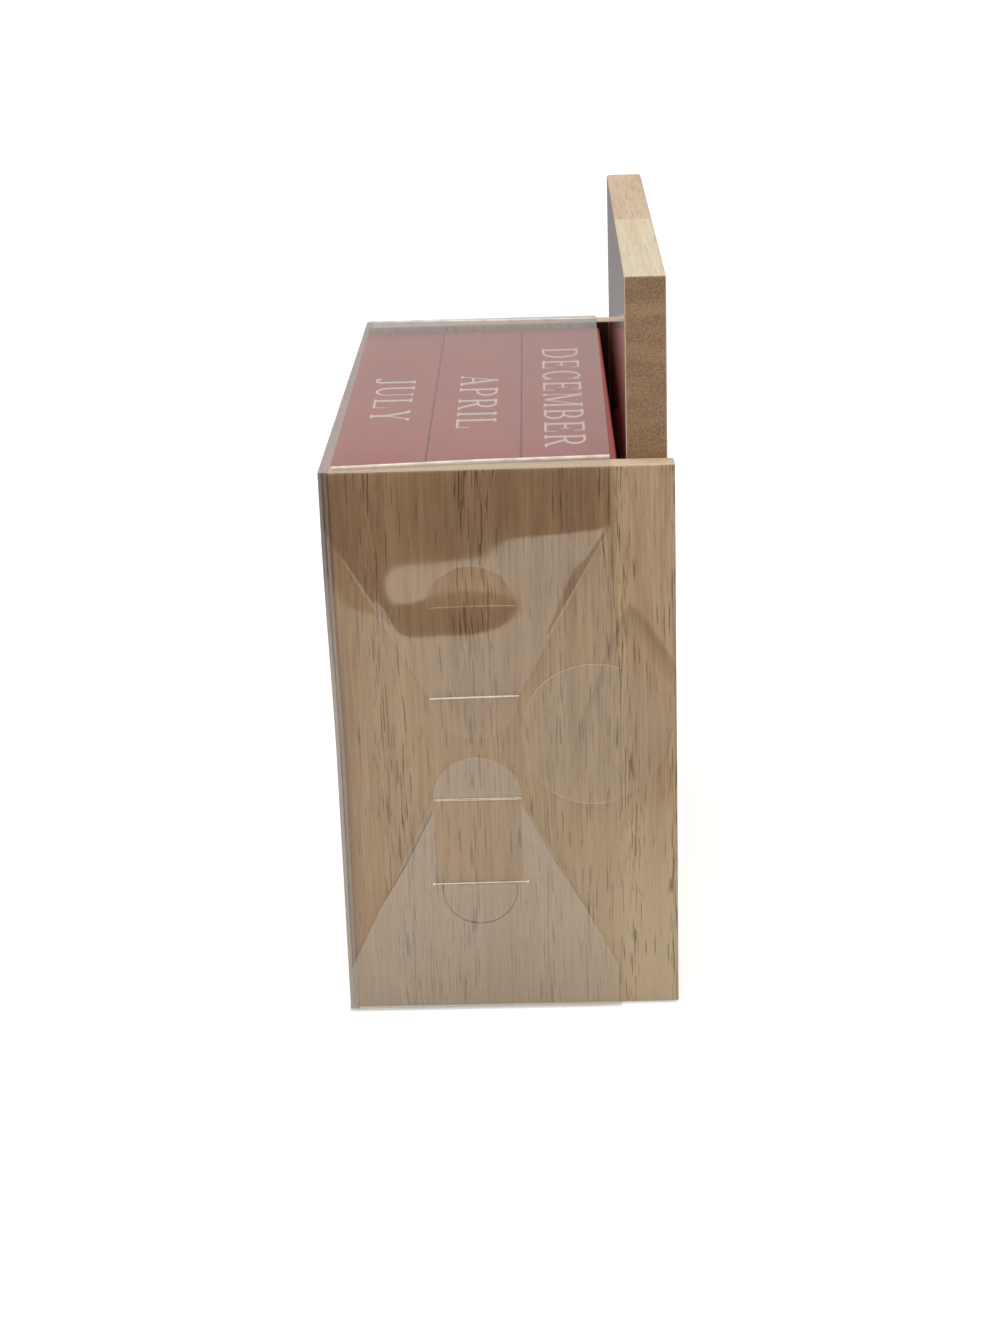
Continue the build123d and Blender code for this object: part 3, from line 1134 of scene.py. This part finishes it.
@dataclass(frozen=True)
class Swell:
    """One soft rise, or hollow where rise is negative, in a sheet of film."""

    y: float
    z: float
    wide: float
    tall: float
    rise: float

    def at(self, y: float, z: float) -> float:
        """Its height at a place on the sheet."""
        aside, above = (y - self.y) / self.wide, (z - self.z) / self.tall
        return self.rise * math.exp(-(aside ** 2 + above ** 2) / 2)


@dataclass(frozen=True)
class Flap:
    """What a tapered flap has of its own: its names, its shoulder, its thumb tab and its gleam head on."""

    place: str
    level: str
    shoulder: float
    thumb_from_middle: float
    thumb_radius: float
    thumb_leg: float
    thumb_loss: float
    head_on: float


# The upper (1) and the lower (-1) tapered flap, in millimetres
FLAPS = {
    1: Flap("top", "upper", 10.5, 27.65, 8.0, 0.0, 0.95, 0.070),
    -1: Flap("bottom", "lower", 8.5, 28.6, 7.05, 1.1, 0.06, 0.146),
}


@dataclass
class EndFilm:
    """The folded film on one end: slit flap, two tapered flaps with round tongues, and the seal.

    Sizes are in millimetres. Layers are counted outwards from the middle of the calendar.
    """

    side: Side
    film: float = 0.15
    # Inner sides of the layers, and the face of the wood
    tongue_layer: float = 66.08
    slit_layer: float = 66.40
    outer_layer: float = 66.66
    seal_layer: float = 66.60
    fold_layer: float = 66.6
    wood: float = 66.0
    # The flaps' outlines, along Y and Z
    rear: float = 21.0
    low: float = 0.35
    high: float = 107.35
    middle_y: float = -5.5
    middle_z: float = 53.85
    tongue_width: float = 16.8
    slit_from_middle: float = 10.25
    slit_gap: float = 0.5
    slit_reach: float = 0.14
    slit_margin: float = 0.15
    slit_row_inset: float = 0.3
    lip_margin: float = 0.4
    lip_fade: float = 4.0
    thumb_kerf: float = 0.3
    pressed_from: float = 27.65
    flap_inset: float = 0.6
    seal_radius: float = 13.85
    seal_y: float = 16.65
    seal_z: float = 56.2
    seal_film: float = 0.1
    step_behind: float = 1.2
    step_length: float = 0.9
    lip_depth: float = 0.03
    fold_radius: float = 0.42
    fold_clearance: float = 0.02
    # Where the painted highlights show: points along Y and Z, and arcs from angle to angle in degrees
    seal_gleams: tuple[Point, ...] = ((70.0, 150.0), (235.0, 285.0))
    tab_gleam: Point = (60.0, 140.0)
    slit_gleam: tuple[Point, ...] = ((-13.7, 64.0), (-6.1, 64.1), (2.9, 64.2))
    thumb_gleam: tuple[Point, ...] = ((-14.3, 26.5), (-7.4, 26.6), (3.6, 26.7))
    tab_foot: tuple[Point, ...] = ((-12.9, 81.6), (-5.5, 81.75), (2.7, 81.75))
    crease: tuple[Point, ...] = ((4.0, 27.4), (4.9, 27.2), (5.85, 26.3), (6.75, 24.2))
    slit_bead: float = 0.17
    thumb_bead: float = 0.11
    thumb_dot: float = 0.26
    faint_bead: float = 0.10
    # Painted light on the front fold's beads: a grey that stands in for the fold's gleam, darker higher up,
    # where the film reflects the dim room; the bead behind it has painted shade
    fold_painted_grey: Colour = (0.60, 0.53, 0.46)
    fold_painted_dark: Colour = (0.34, 0.29, 0.26)
    shade_colour: Colour = (0.52, 0.42, 0.345)
    shade_dark: Colour = (0.36, 0.25, 0.185)
    # How fine the meshes are
    mesh_step: float = 1.5
    round_steps: int = 28
    edge_steps: int = 12
    fold_steps: int = 24
    slit_columns: int = 8
    slit_rows: tuple[float, ...] = (-0.7, -0.42, -0.28, -0.14, 0.0, 0.14, 0.28, 0.42, 0.7)
    # Each is placed beside a dark or light shape of the reflection that it bends the film for
    swells: tuple[Swell, ...] = (
        Swell(-6.0, 73.0, 6.0, 6.0, 0.18),     # under the dark lens
        Swell(-6.0, 84.0, 6.0, 3.5, -0.25),    # over the dark lens
        Swell(-6.0, 95.0, 6.0, 5.0, -0.15),    # over the light gap above the lens
        Swell(-18.0, 82.0, 3.0, 3.0, -0.15),   # in front of the light patch
        Swell(-16.0, 74.0, 5.0, 4.0, 0.15),    # under the light patch
        Swell(-24.0, 80.0, 3.0, 4.0, 0.30),    # near the front fold
        Swell(10.0, 96.0, 8.0, 3.0, 0.20),     # over the light lobe
        Swell(18.0, 98.0, 4.0, 3.0, 0.10),     # over the lobe's rear
        Swell(12.0, 36.0, 10.0, 14.0, 0.06),   # low on the end, at the rear
        Swell(-20.0, 28.0, 9.0, 12.0, -0.06),  # low on the end, at the front
    )

    def swell(self, y: float, z: float) -> float:
        """How far the film stands out of its layer at a place."""
        return sum(swell.at(y, z) for swell in self.swells)

    def slit_z(self, way: int) -> float:
        """Height of the upper (1) or lower (-1) slit."""
        return self.middle_z + way * self.slit_from_middle

    def lip(self, y: float, z: float) -> float:
        """Bends the slit flap round the tongues.

        Args:
            y: Place along the end.
            z: Height.

        Returns:
            How far the flap stands out of its layer there.
        """
        total = 0.0
        for way in FLAPS:
            across = abs(y - self.middle_y) / (self.tongue_width / 2 + self.lip_margin)
            beyond = (z - self.slit_z(way)) * way
            if across < 1.0:
                bend = math.sqrt(1.0 - across ** 4) * self.lip_depth * math.copysign(1.0, beyond)
                total -= bend * math.exp(-abs(beyond) / self.lip_fade)
        return total

    def circle(self, y: float, z: float, radius: float, start: float = 0.0, end: float = 360.0) -> Outline:
        """An arc of a circle.

        Args:
            y: Its middle.
            z: Its middle's height.
            radius: Its radius.
            start: First angle in degrees.
            end: Last angle, greater than the first.

        Returns:
            Its points, without the last one when it closes.
        """
        count = round(self.round_steps * (end - start) / 180.0)
        shown = count if end - start >= 360.0 else count + 1
        angles = [math.radians(start + (end - start) * i / count) for i in range(shown)]
        return [(y + radius * math.cos(a), z + radius * math.sin(a)) for a in angles]

    def thumb_z(self, way: int) -> float:
        """Height of the middle of the upper (1) or lower (-1) thumb tab."""
        return self.middle_z + way * FLAPS[way].thumb_from_middle

    def thumb_cut(self, way: int) -> Outline:
        """Draws the narrow round cut of a thumb tab.

        Args:
            way: 1 for the upper flap, -1 for the lower one.

        Returns:
            The cut's outline, with a short straight leg at each end where the tab has one.
        """
        flap = FLAPS[way]
        start = 0.0 if way == 1 else 180.0
        foot = self.thumb_z(way) - way * flap.thumb_leg
        sides = []
        for kerf in (self.thumb_kerf, -self.thumb_kerf):
            radius = flap.thumb_radius + kerf / 2
            arc = self.circle(self.middle_y, self.thumb_z(way), radius, start, start + 180.0)
            if flap.thumb_leg > 0.0:
                arc = [(arc[0][0], foot), *arc, (arc[-1][0], foot)]
            sides.append(arc)
        return sides[0] + sides[1][::-1]

    def grid(self, outline: Outline) -> list[Point]:
        """Fills a sheet with points, so that it swells smoothly.

        Args:
            outline: The sheet's edge.

        Returns:
            Staggered points inside it.
        """
        ys, zs = zip(*outline)
        step = self.mesh_step
        found: list[Point] = []
        row, z = 0, min(zs) + step * 0.7
        while z < max(zs) - step * 0.4:
            y = min(ys) + step * (0.7 if row % 2 else 1.2)
            while y < max(ys) - step * 0.4:
                if inside(outline, y, z):
                    found.append((y, z))
                y += step
            z += step
            row += 1
        return found

    def columns(self, half: float) -> list[float]:
        """Even places across a tongue, up to half either side of its middle."""
        count = self.slit_columns
        return [self.middle_y - half + half * i / count for i in range(2 * count + 1)]

    def slit_points(self, way: int) -> list[Point]:
        """Rows of points of a tongue beside its slit, where it steps from outside to inside."""
        columns = self.columns(self.tongue_width / 2 - self.slit_row_inset)
        return [(y, self.slit_z(way) + row) for row in self.slit_rows for y in columns]

    def sheet(
        self,
        name: str,
        outline: Outline,
        holes: list[Outline],
        layer: Callable[[float, float], float],
        film: float,
        extra: Sequence[Point] = (),
    ) -> bpy.types.Mesh:
        """A sheet of film.

        Args:
            name: Its mesh's name.
            outline: Its edge in the end plane, anticlockwise seen from +X.
            holes: Cuts in it.
            layer: Gives the distance of its inner side from the middle at a place.
            film: Its thickness.
            extra: Points that its mesh needs beside the even ones.

        Returns:
            The closed mesh, on this side's end.
        """
        clear = self.mesh_step / 2
        even = [p for p in self.grid(outline) if all(math.dist(p, q) > clear for q in extra)]
        points, triangles = fuse_flat([outline], holes, [*even, *extra])
        end = self.side.value
        if end < 0:
            triangles = [tuple(reversed(t)) for t in triangles]

        def place(y: float, z: float, height: float) -> Vector:
            """A point of the sheet in metres."""
            return Vector((end * (layer(y, z) + height), y, z)) * MM

        return thick_mesh(name, points, triangles, place, film)

    def slit_flap(self) -> bpy.types.Mesh:
        """Makes the flap that is folded round from the front.

        Returns:
            Its mesh, with a slit for each tongue.
        """
        outline = [(self.rear, self.low), (self.rear, self.high), *self.front_edge(self.high, self.low, 0.0)]
        rows = self.columns(self.tongue_width / 2 + self.slit_margin)
        slits = []
        for way in FLAPS:
            z = self.slit_z(way)
            lower = [(y, z - self.slit_gap / 2) for y in rows]
            upper = [(y, z + self.slit_gap / 2) for y in reversed(rows)]
            slits.append(lower + upper)

        def layer(y: float, z: float) -> float:
            """Where the slit flap lies."""
            return self.slit_layer + self.swell(y, z) + self.lip(y, z)

        return self.sheet(f"film_{self.side.word}_slit_flap", outline, slits, layer, self.film)

    def front_edge(self, start: float, end: float, inset: float) -> Outline:
        """The flaps' front edge between two heights, where the front panel's fold is."""
        count = self.edge_steps
        heights = [start + (end - start) * i / count for i in range(count + 1)]
        return [(fold_line(z) + inset, z) for z in heights]

    def flap_layer(self, y: float, z: float, way: int) -> float:
        """Lays a tapered flap outside the slit flap, and inside it past the slit.

        Args:
            y: Place along the end.
            z: Height.
            way: 1 for the upper flap, -1 for the lower one.

        Returns:
            The distance of its inner side from the middle of the calendar.
        """
        middle = (self.outer_layer + self.tongue_layer) / 2
        half_way = (self.outer_layer - self.tongue_layer) / 2
        outside = math.tanh((z - self.slit_z(way)) * way / self.slit_reach)
        return middle + half_way * outside + self.swell(y, z) * (0.5 + 0.5 * outside)

    def tapered_flap(self, way: int) -> bpy.types.Mesh:
        """Makes the flap that is folded from the top or the bottom.

        Args:
            way: 1 for the upper flap, -1 for the lower one.

        Returns:
            Its mesh, with its tongue tucked through a slit.
        """
        hinge = self.high if way == 1 else self.low
        shoulder = hinge - way * FLAPS[way].shoulder
        rear = self.rear - self.flap_inset
        start = 180.0 if way == 1 else 0.0
        tongue = self.circle(self.middle_y, self.slit_z(way), self.tongue_width / 2, start, start + 180.0)
        if way == 1:
            front = self.front_edge(hinge, shoulder, self.flap_inset)
            outline = [*front, *tongue, (rear, shoulder), (rear, hinge)]
        else:
            front = self.front_edge(shoulder, hinge, self.flap_inset)
            outline = [(rear, hinge), (rear, shoulder), *tongue, *front]

        def layer(y: float, z: float) -> float:
            """Where this flap lies."""
            return self.flap_layer(y, z, way)

        name = f"film_{self.side.word}_{FLAPS[way].place}_flap"
        holes = [anticlockwise(self.thumb_cut(way))]
        return self.sheet(name, anticlockwise(outline), holes, layer, self.film, self.slit_points(way))

    def seal(self) -> bpy.types.Mesh:
        """Makes the round seal over the film's rear edge.

        Returns:
            Its mesh, stepping down onto the bare wood.
        """
        outline = self.circle(self.seal_y, self.seal_z, self.seal_radius)

        def layer(y: float, z: float) -> float:
            """Where the seal lies: on the film, and past its edge on the wood."""
            on_wood = 0.5 + 0.5 * math.tanh((y - self.rear - self.step_behind) / self.step_length)
            return self.wood * on_wood + (self.seal_layer + self.swell(y, z)) * (1.0 - on_wood)

        return self.sheet(f"film_{self.side.word}_seal", outline, [], layer, self.seal_film)

    def on_flap(self, line: Outline) -> list[Vector]:
        """Draws a line on the outside of the flaps.

        Args:
            line: Its places along the end and heights.

        Returns:
            Its points in millimetres.
        """
        found = []
        for y, z in line:
            way = 1 if z > self.middle_z else -1
            outer = self.flap_layer(y, z, way)
            if (z - self.slit_z(way)) * way < self.slit_reach * 2:
                outer = max(outer, self.slit_layer + self.swell(y, z) + self.film)
            found.append(Vector((self.side.value * (outer + self.film), y, z)))
        return found

    def on_seal(self, start: float, end: float) -> list[Vector]:
        """Part of the seal's edge between two angles, in millimetres."""
        arc = self.circle(self.seal_y, self.seal_z, self.seal_radius, start, end)
        return [Vector((self.side.value * (self.seal_layer + self.seal_film), y, z)) for y, z in arc]

    def beads(
        self, name: str, radius: float, finish: FilmEdge, *lines: list[Vector], dots: float = 0.0
    ) -> None:
        """Beads of that radius along lines on this end, with a dot of radius dots on each end."""
        Beading(f"film_{self.side.word}_{name}", radius, finish, dots).run(lines)

    def edge_lines(self) -> None:
        """Beads with painted light and shade along the upright fold at the front, and painted highlights
        along the slits, thumb cuts, creases and the seal's edge.
        """
        count = self.fold_steps
        heights = [self.low + (self.high - self.low) * i / count for i in range(count + 1)]
        fold = FilmEdge("film_fold", 0.80, self.fold_painted_grey, self.fold_painted_dark, unevenness=0.05)
        shade = FilmEdge("film_fold_shade", 0.66, self.shade_colour, self.shade_dark, unevenness=0.05)
        radius = self.fold_radius
        near = radius + self.fold_clearance
        beads = (("front_fold", fold, near, near), ("fold_shade", shade, radius, near + radius * 2.0))
        for name, finish, inwards, behind in beads:
            x = self.side.value * (self.fold_layer - inwards)
            self.beads(name, radius, finish, [Vector((x, fold_line(z) + behind, z)) for z in heights])
        # Painted highlights: off-white and warm beads where the slits and thumb cuts gleam, and faint ones
        # along the tab, a crease and the seal's edge
        bright = FilmEdge("film_edge_bright", 1.0, (1.0, 0.90, 0.74))
        self.beads("slit_gleam", self.slit_bead, bright, self.on_flap(self.slit_gleam))
        warm = FilmEdge("film_edge_warm", 1.0, (1.0, 0.87, 0.68), ior=1.1)
        self.beads("thumb_gleam", self.thumb_bead, warm, self.on_flap(self.thumb_gleam), dots=self.thumb_dot)
        tab = self.circle(self.middle_y, self.thumb_z(1), FLAPS[1].thumb_radius, *self.tab_gleam)
        lines = [self.on_flap(line) for line in (self.tab_foot, self.crease, tab)]
        lines += [self.on_seal(start, end) for start, end in self.seal_gleams]
        self.beads("faint_gleams", self.faint_bead, FilmEdge("film_edge_faint", 0.12), *lines)

    def build(self) -> None:
        """Makes this end's film pieces in place of the plain ones."""
        word = self.side.word
        low, high = (self.middle_z - drop for drop in (self.pressed_from, self.slit_from_middle))
        pressed = (self.middle_y * MM, (self.tongue_width / 2) * MM, low * MM, high * MM)
        sheen = {"sheen_colour": (0.98, 0.92, 0.80)}
        looks = {"tint": (0.984, 0.970, 0.955), **sheen}
        inner = ClearFilm(f"film_{word}_inner", **looks)
        made = {f"cover_{word}_side_flap": (self.slit_flap(), inner.material(), "clear_film")}
        for way, flap in FLAPS.items():
            tab = (self.middle_y * MM, self.thumb_z(way) * MM, flap.thumb_radius * MM, way)
            own = {"pressed": pressed, "thumb_tab": tab, "thumb_loss": flap.thumb_loss, **looks}
            film = ClearFilm(f"film_{word}_{flap.level}", flap.head_on, **own)
            made[f"cover_{word}_{flap.place}_flap"] = (self.tapered_flap(way), film.material(), "clear_film")
        sticker = ClearFilm(f"film_{word}_seal", 0.036, haze=0.006, tint=(0.994, 0.992, 0.988), **sheen)
        made[f"{word}_round_seal"] = (self.seal(), sticker.material(), "clear_seal")
        for node, (mesh, material, slot) in made.items():
            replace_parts(new_piece(mesh, material, "cover", slot), node)
        self.edge_lines()


def fold_line(z: float) -> float:
    """Bends the film's front panel, which lies closer to the wood lower down.

    Args:
        z: A height in millimetres.

    Returns:
        Where the panel stands there along Y.
    """
    near, bulge, low, high = -31.42, 0.58, 50.0, 95.0
    share = min(1.0, max(0.0, (z - low) / (high - low)))
    return near - bulge * share * share * (3.0 - 2.0 * share)


def inside(outline: Outline, u: float, v: float) -> bool:
    """Tests whether a point lies inside an outline.

    Args:
        outline: The outline.
        u: The point's first coordinate.
        v: The point's second coordinate.

    Returns:
        True where it does.
    """
    hits = 0
    for (u0, v0), (u1, v1) in zip(outline, outline[1:] + outline[:1]):
        if (v0 > v) != (v1 > v) and u < u0 + (v - v0) * (u1 - u0) / (v1 - v0):
            hits += 1
    return hits % 2 == 1


@dataclass
class Beading:
    """Thin round beads that Geometry Nodes run along lines, with a dot on each end where asked.

    Sizes are in millimetres.
    """

    name: str
    radius: float
    finish: FilmEdge
    dot_radius: float = 0.0
    sides: int = 8

    def tree(self, material: bpy.types.Material) -> bpy.types.NodeTree:
        """Lays out the nodes: lines to beads, dots on the ends, then the finish.

        Args:
            material: The beads' finish.

        Returns:
            The node group.
        """
        tree = bpy.data.node_groups.new(f"{self.name}_nodes", "GeometryNodeTree")
        kinds = {"Lines": "Geometry", "Bead radius": "Float", "Dot radius": "Float", "Beads": "Geometry"}
        for name, kind in kinds.items():
            way = "OUTPUT" if name == "Beads" else "INPUT"
            tree.interface.new_socket(name, in_out=way, socket_type=f"NodeSocket{kind}")
        nodes = Layout(tree)
        given = nodes.add("NodeGroupInput")
        curve = nodes.add("GeometryNodeMeshToCurve", {0: given.term("Lines")})
        circle = {"Resolution": self.sides, "Radius": given.term("Bead radius")}
        profile = nodes.add("GeometryNodeCurvePrimitiveCircle", circle)
        sweep = {"Curve": curve, "Profile Curve": profile, "Fill Caps": True}
        parts = [nodes.add("GeometryNodeCurveToMesh", sweep)]
        if self.dot_radius > 0.0:
            ends = nodes.add("GeometryNodeCurveEndpointSelection")
            ball = {"Segments": self.sides, "Rings": self.sides // 2, "Radius": given.term("Dot radius")}
            dot = nodes.add("GeometryNodeMeshUVSphere", ball)
            places = {"Points": curve, "Selection": ends, "Instance": dot}
            parts.append(nodes.add("GeometryNodeInstanceOnPoints", places))
        join = nodes.add("GeometryNodeJoinGeometry", {0: parts})
        realize = nodes.add("GeometryNodeRealizeInstances", {0: join})
        coat = nodes.add("GeometryNodeSetMaterial", {"Geometry": realize, "Material": material})
        nodes.add("NodeGroupOutput", {0: coat})
        return tree

    def run(self, lines: Sequence[Sequence[Vector]]) -> bpy.types.Object:
        """Makes the beads.

        Args:
            lines: Lines in millimetres, each at least two points.

        Returns:
            The piece, which rides on the cover.
        """
        points: list[Vector] = []
        edges: list[tuple[int, int]] = []
        for line in lines:
            start = len(points)
            points += [point * MM for point in line]
            edges += [(i, i + 1) for i in range(start, len(points) - 1)]
        mesh = bpy.data.meshes.new(f"{self.name}_lines")
        mesh.from_pydata(points, edges, [])
        host = show(mesh.name, mesh)
        modifier = host.modifiers.new("beads", "NODES")
        material = self.finish.material()
        modifier.node_group = self.tree(material)
        sizes = {"Bead radius": self.radius * MM, "Dot radius": self.dot_radius * MM}
        for item in modifier.node_group.interface.items_tree:
            if item.name in sizes:
                modifier[item.identifier] = sizes[item.name]
        graph = bpy.context.evaluated_depsgraph_get()
        beads = bpy.data.meshes.new_from_object(host.evaluated_get(graph))
        beads.name = self.name
        bpy.data.objects.remove(host)
        return new_piece(beads, material, "cover", "clear_film")


@dataclass
class FilmCover:
    """The clear folded cover and its seals. Sizes are in millimetres."""

    half_length: float = 66.62
    film: float = 0.15
    front: float = -31.6
    rear: float = 20.45
    low: float = 0.05
    high: float = 107.55
    crown: float = 0.60
    crown_sharpness: float = 8.0
    crown_half: float = 67.0
    columns: int = 16
    mesh_step: float = 4.0
    # Past this place on X at the far end, the top panel gets a painted reflection: a pale grey milky layer
    glare_band_before: float = -57.8
    gleam_radius: float = 0.32
    gleam_line: tuple[Point, ...] = (
        (64.4, -29.6), (63.4, -17.0), (62.8, -9.9), (62.2, -2.8), (62.0, 4.4), (61.4, 18.6), (61.4, 20.4)
    )

    def top_line(self, x: float) -> float:
        """Height of the top panel's upper side: crowned, and steep at its ends."""
        return self.high + self.crown * (1.0 - (abs(x) / self.crown_half) ** self.crown_sharpness)

    def rectangle(self, half: float, low: float, high: float) -> tuple[list[Point], list[tuple]]:
        """Meshes a flat rectangle, closer set towards its two ends.

        Args:
            half: Its half length.
            low: Where it starts across its length.
            high: Where it ends.

        Returns:
            Its points and triangles.
        """
        last = self.columns
        columns = [half * math.sin(math.pi / 2 * i / last) for i in range(-last, last + 1)]
        count = round((high - low) / self.mesh_step)
        rows = [low + (high - low) * i / count for i in range(count + 1)]
        points = [(u, v) for v in rows for u in columns]
        wide = len(columns)
        triangles: list[tuple] = []
        for row in range(count):
            for column in range(wide - 1):
                a = row * wide + column
                triangles += [(a, a + 1, a + 1 + wide), (a, a + 1 + wide, a + wide)]
        return points, triangles

    def front_panel(self) -> bpy.types.Mesh:
        """Makes the front panel, which lies closer to the wood lower down.

        Returns:
            Its mesh.
        """
        points, triangles = self.rectangle(self.half_length, self.low, self.high)

        def place(x: float, z: float, height: float) -> Vector:
            """A point of the front panel in metres."""
            return Vector((x, fold_line(z) + self.film - height, z)) * MM

        return thick_mesh("film_front_panel", points, triangles, place, self.film)

    def top_panel(self) -> bpy.types.Mesh:
        """Makes the crowned top panel.

        Returns:
            Its mesh.
        """
        points, triangles = self.rectangle(self.half_length, self.front, self.rear)

        def place(x: float, y: float, height: float) -> Vector:
            """A point of the top panel in metres."""
            return Vector((x, y, self.top_line(x) - self.film + height)) * MM

        return thick_mesh("film_top_panel", points, triangles, place, self.film)

    def top_gleam(self) -> None:
        """A painted highlight: an off-white bead along the top panel near each end, where it bends down."""
        lines = []
        for side in Side:
            lines.append([Vector((side.value * x, y, self.top_line(x))) for x, y in self.gleam_line])
        Beading("film_top_gleam", self.gleam_radius, FilmEdge("film_edge_top", 0.95)).run(lines)

    def build(self) -> None:
        """Makes the bent panels and the ends' flaps, and dresses the bottom."""
        sheen = (0.93, 0.87, 0.82)
        film = ClearFilm("film_panels", sheen_colour=sheen).material()
        top = ClearFilm("film_top", sheen_colour=sheen, glare_band_before=self.glare_band_before * MM).material()
        front = ClearFilm("film_front", sheen_colour=(0.66, 0.60, 0.58)).material()
        dress("cover_bottom_panel", film)
        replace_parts(new_piece(self.front_panel(), front, "cover", "clear_film"), "cover_front_panel")
        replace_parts(new_piece(self.top_panel(), top, "cover", "clear_film"), "cover_top_panel")
        self.top_gleam()
        for side in Side:
            EndFilm(side).build()


@dataclass
class Studio:
    """Pale floor, one soft lamp, white surroundings and the camera at the photograph's view."""

    # The camera's focal length, place and turn come from a fit to the photograph's straight edges
    focal_pixels: float = 2437.0
    image_width: float = 1000.0
    sensor_width: float = 36.0
    camera_place: tuple[float, float, float] = (0.48801, 0.01117, 0.22025)
    camera_turn: tuple[float, float, float] = (70.37, 1.753, 90.95)
    world_level: float = 0.62
    glossy_level: float = 0.55
    overhead_power: float = 5.5
    floor_size: float = 8.0
    floor_gap: float = 0.0001
    clear_layers: int = 32
    lamp_size: float = 0.9
    lamp_place: tuple[float, float, float] = (0.15, -0.25, 1.05)
    lamp_turn: tuple[float, float, float] = (-13.0, 8.0, 0.0)

    def floor(self) -> None:
        """A wide pale floor under the object."""
        half = self.floor_size / 2
        mesh = bpy.data.meshes.new("studio_floor")
        corners = [(-half, -half, 0.0), (half, -half, 0.0), (half, half, 0.0), (-half, half, 0.0)]
        mesh.from_pydata(corners, [], [(0, 1, 2, 3)])
        mesh.materials.append(StudioFloor().material())
        floor = show("studio_floor", mesh)
        floor.location.z = -self.floor_gap

    def surroundings(self) -> None:
        """A world that lights the object evenly and is white to the camera."""
        world = bpy.data.worlds.new("studio")
        world.use_nodes = True
        bpy.context.scene.world = world
        nodes = Layout(world.node_tree)
        path = nodes.add("ShaderNodeLightPath")
        white = (1.0, 1.0, 1.0)
        lit, glossy, seen = (
            nodes.add("ShaderNodeBackground", {"Color": white, "Strength": level})
            for level in (self.world_level, self.glossy_level, 1.0)
        )
        by_gloss = nodes.blend(path.term("Is Glossy Ray"), lit, glossy)
        by_camera = nodes.blend(path.term("Is Camera Ray"), by_gloss, seen)
        nodes.add("ShaderNodeOutputWorld", {"Surface": by_camera})

    def lamp(self) -> None:
        """One large soft lamp overhead."""
        light = bpy.data.lights.new("overhead", "AREA")
        light.shape = "SQUARE"
        light.size = self.lamp_size
        light.energy = self.overhead_power
        lamp = show("overhead", light)
        lamp.location = self.lamp_place
        lamp.rotation_euler = Euler(math.radians(a) for a in self.lamp_turn)

    def camera(self) -> None:
        """The camera where the photograph was taken from."""
        data = bpy.data.cameras.new("photo_camera")
        data.sensor_fit = "HORIZONTAL"
        data.sensor_width = self.sensor_width
        data.lens = self.focal_pixels / self.image_width * self.sensor_width
        data.clip_start = 0.01
        camera = show("photo_camera", data)
        camera.location = self.camera_place
        camera.rotation_euler = Euler(math.radians(a) for a in self.camera_turn)
        bpy.context.scene.camera = camera

    def build(self) -> None:
        """Sets up the whole studio."""
        self.floor()
        self.surroundings()
        self.lamp()
        self.camera()
        scene = bpy.context.scene
        scene.view_settings.view_transform = "Standard"
        scene.cycles.transparent_max_bounces = self.clear_layers


def main() -> None:
    """Builds the calendar and its studio."""
    logging.basicConfig(level=logging.INFO, format="%(message)s")
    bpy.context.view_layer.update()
    WoodenCase().dress()
    Blocks().build()
    FilmCover().build()
    Studio().build()


if __name__ == "__main__":
    main()
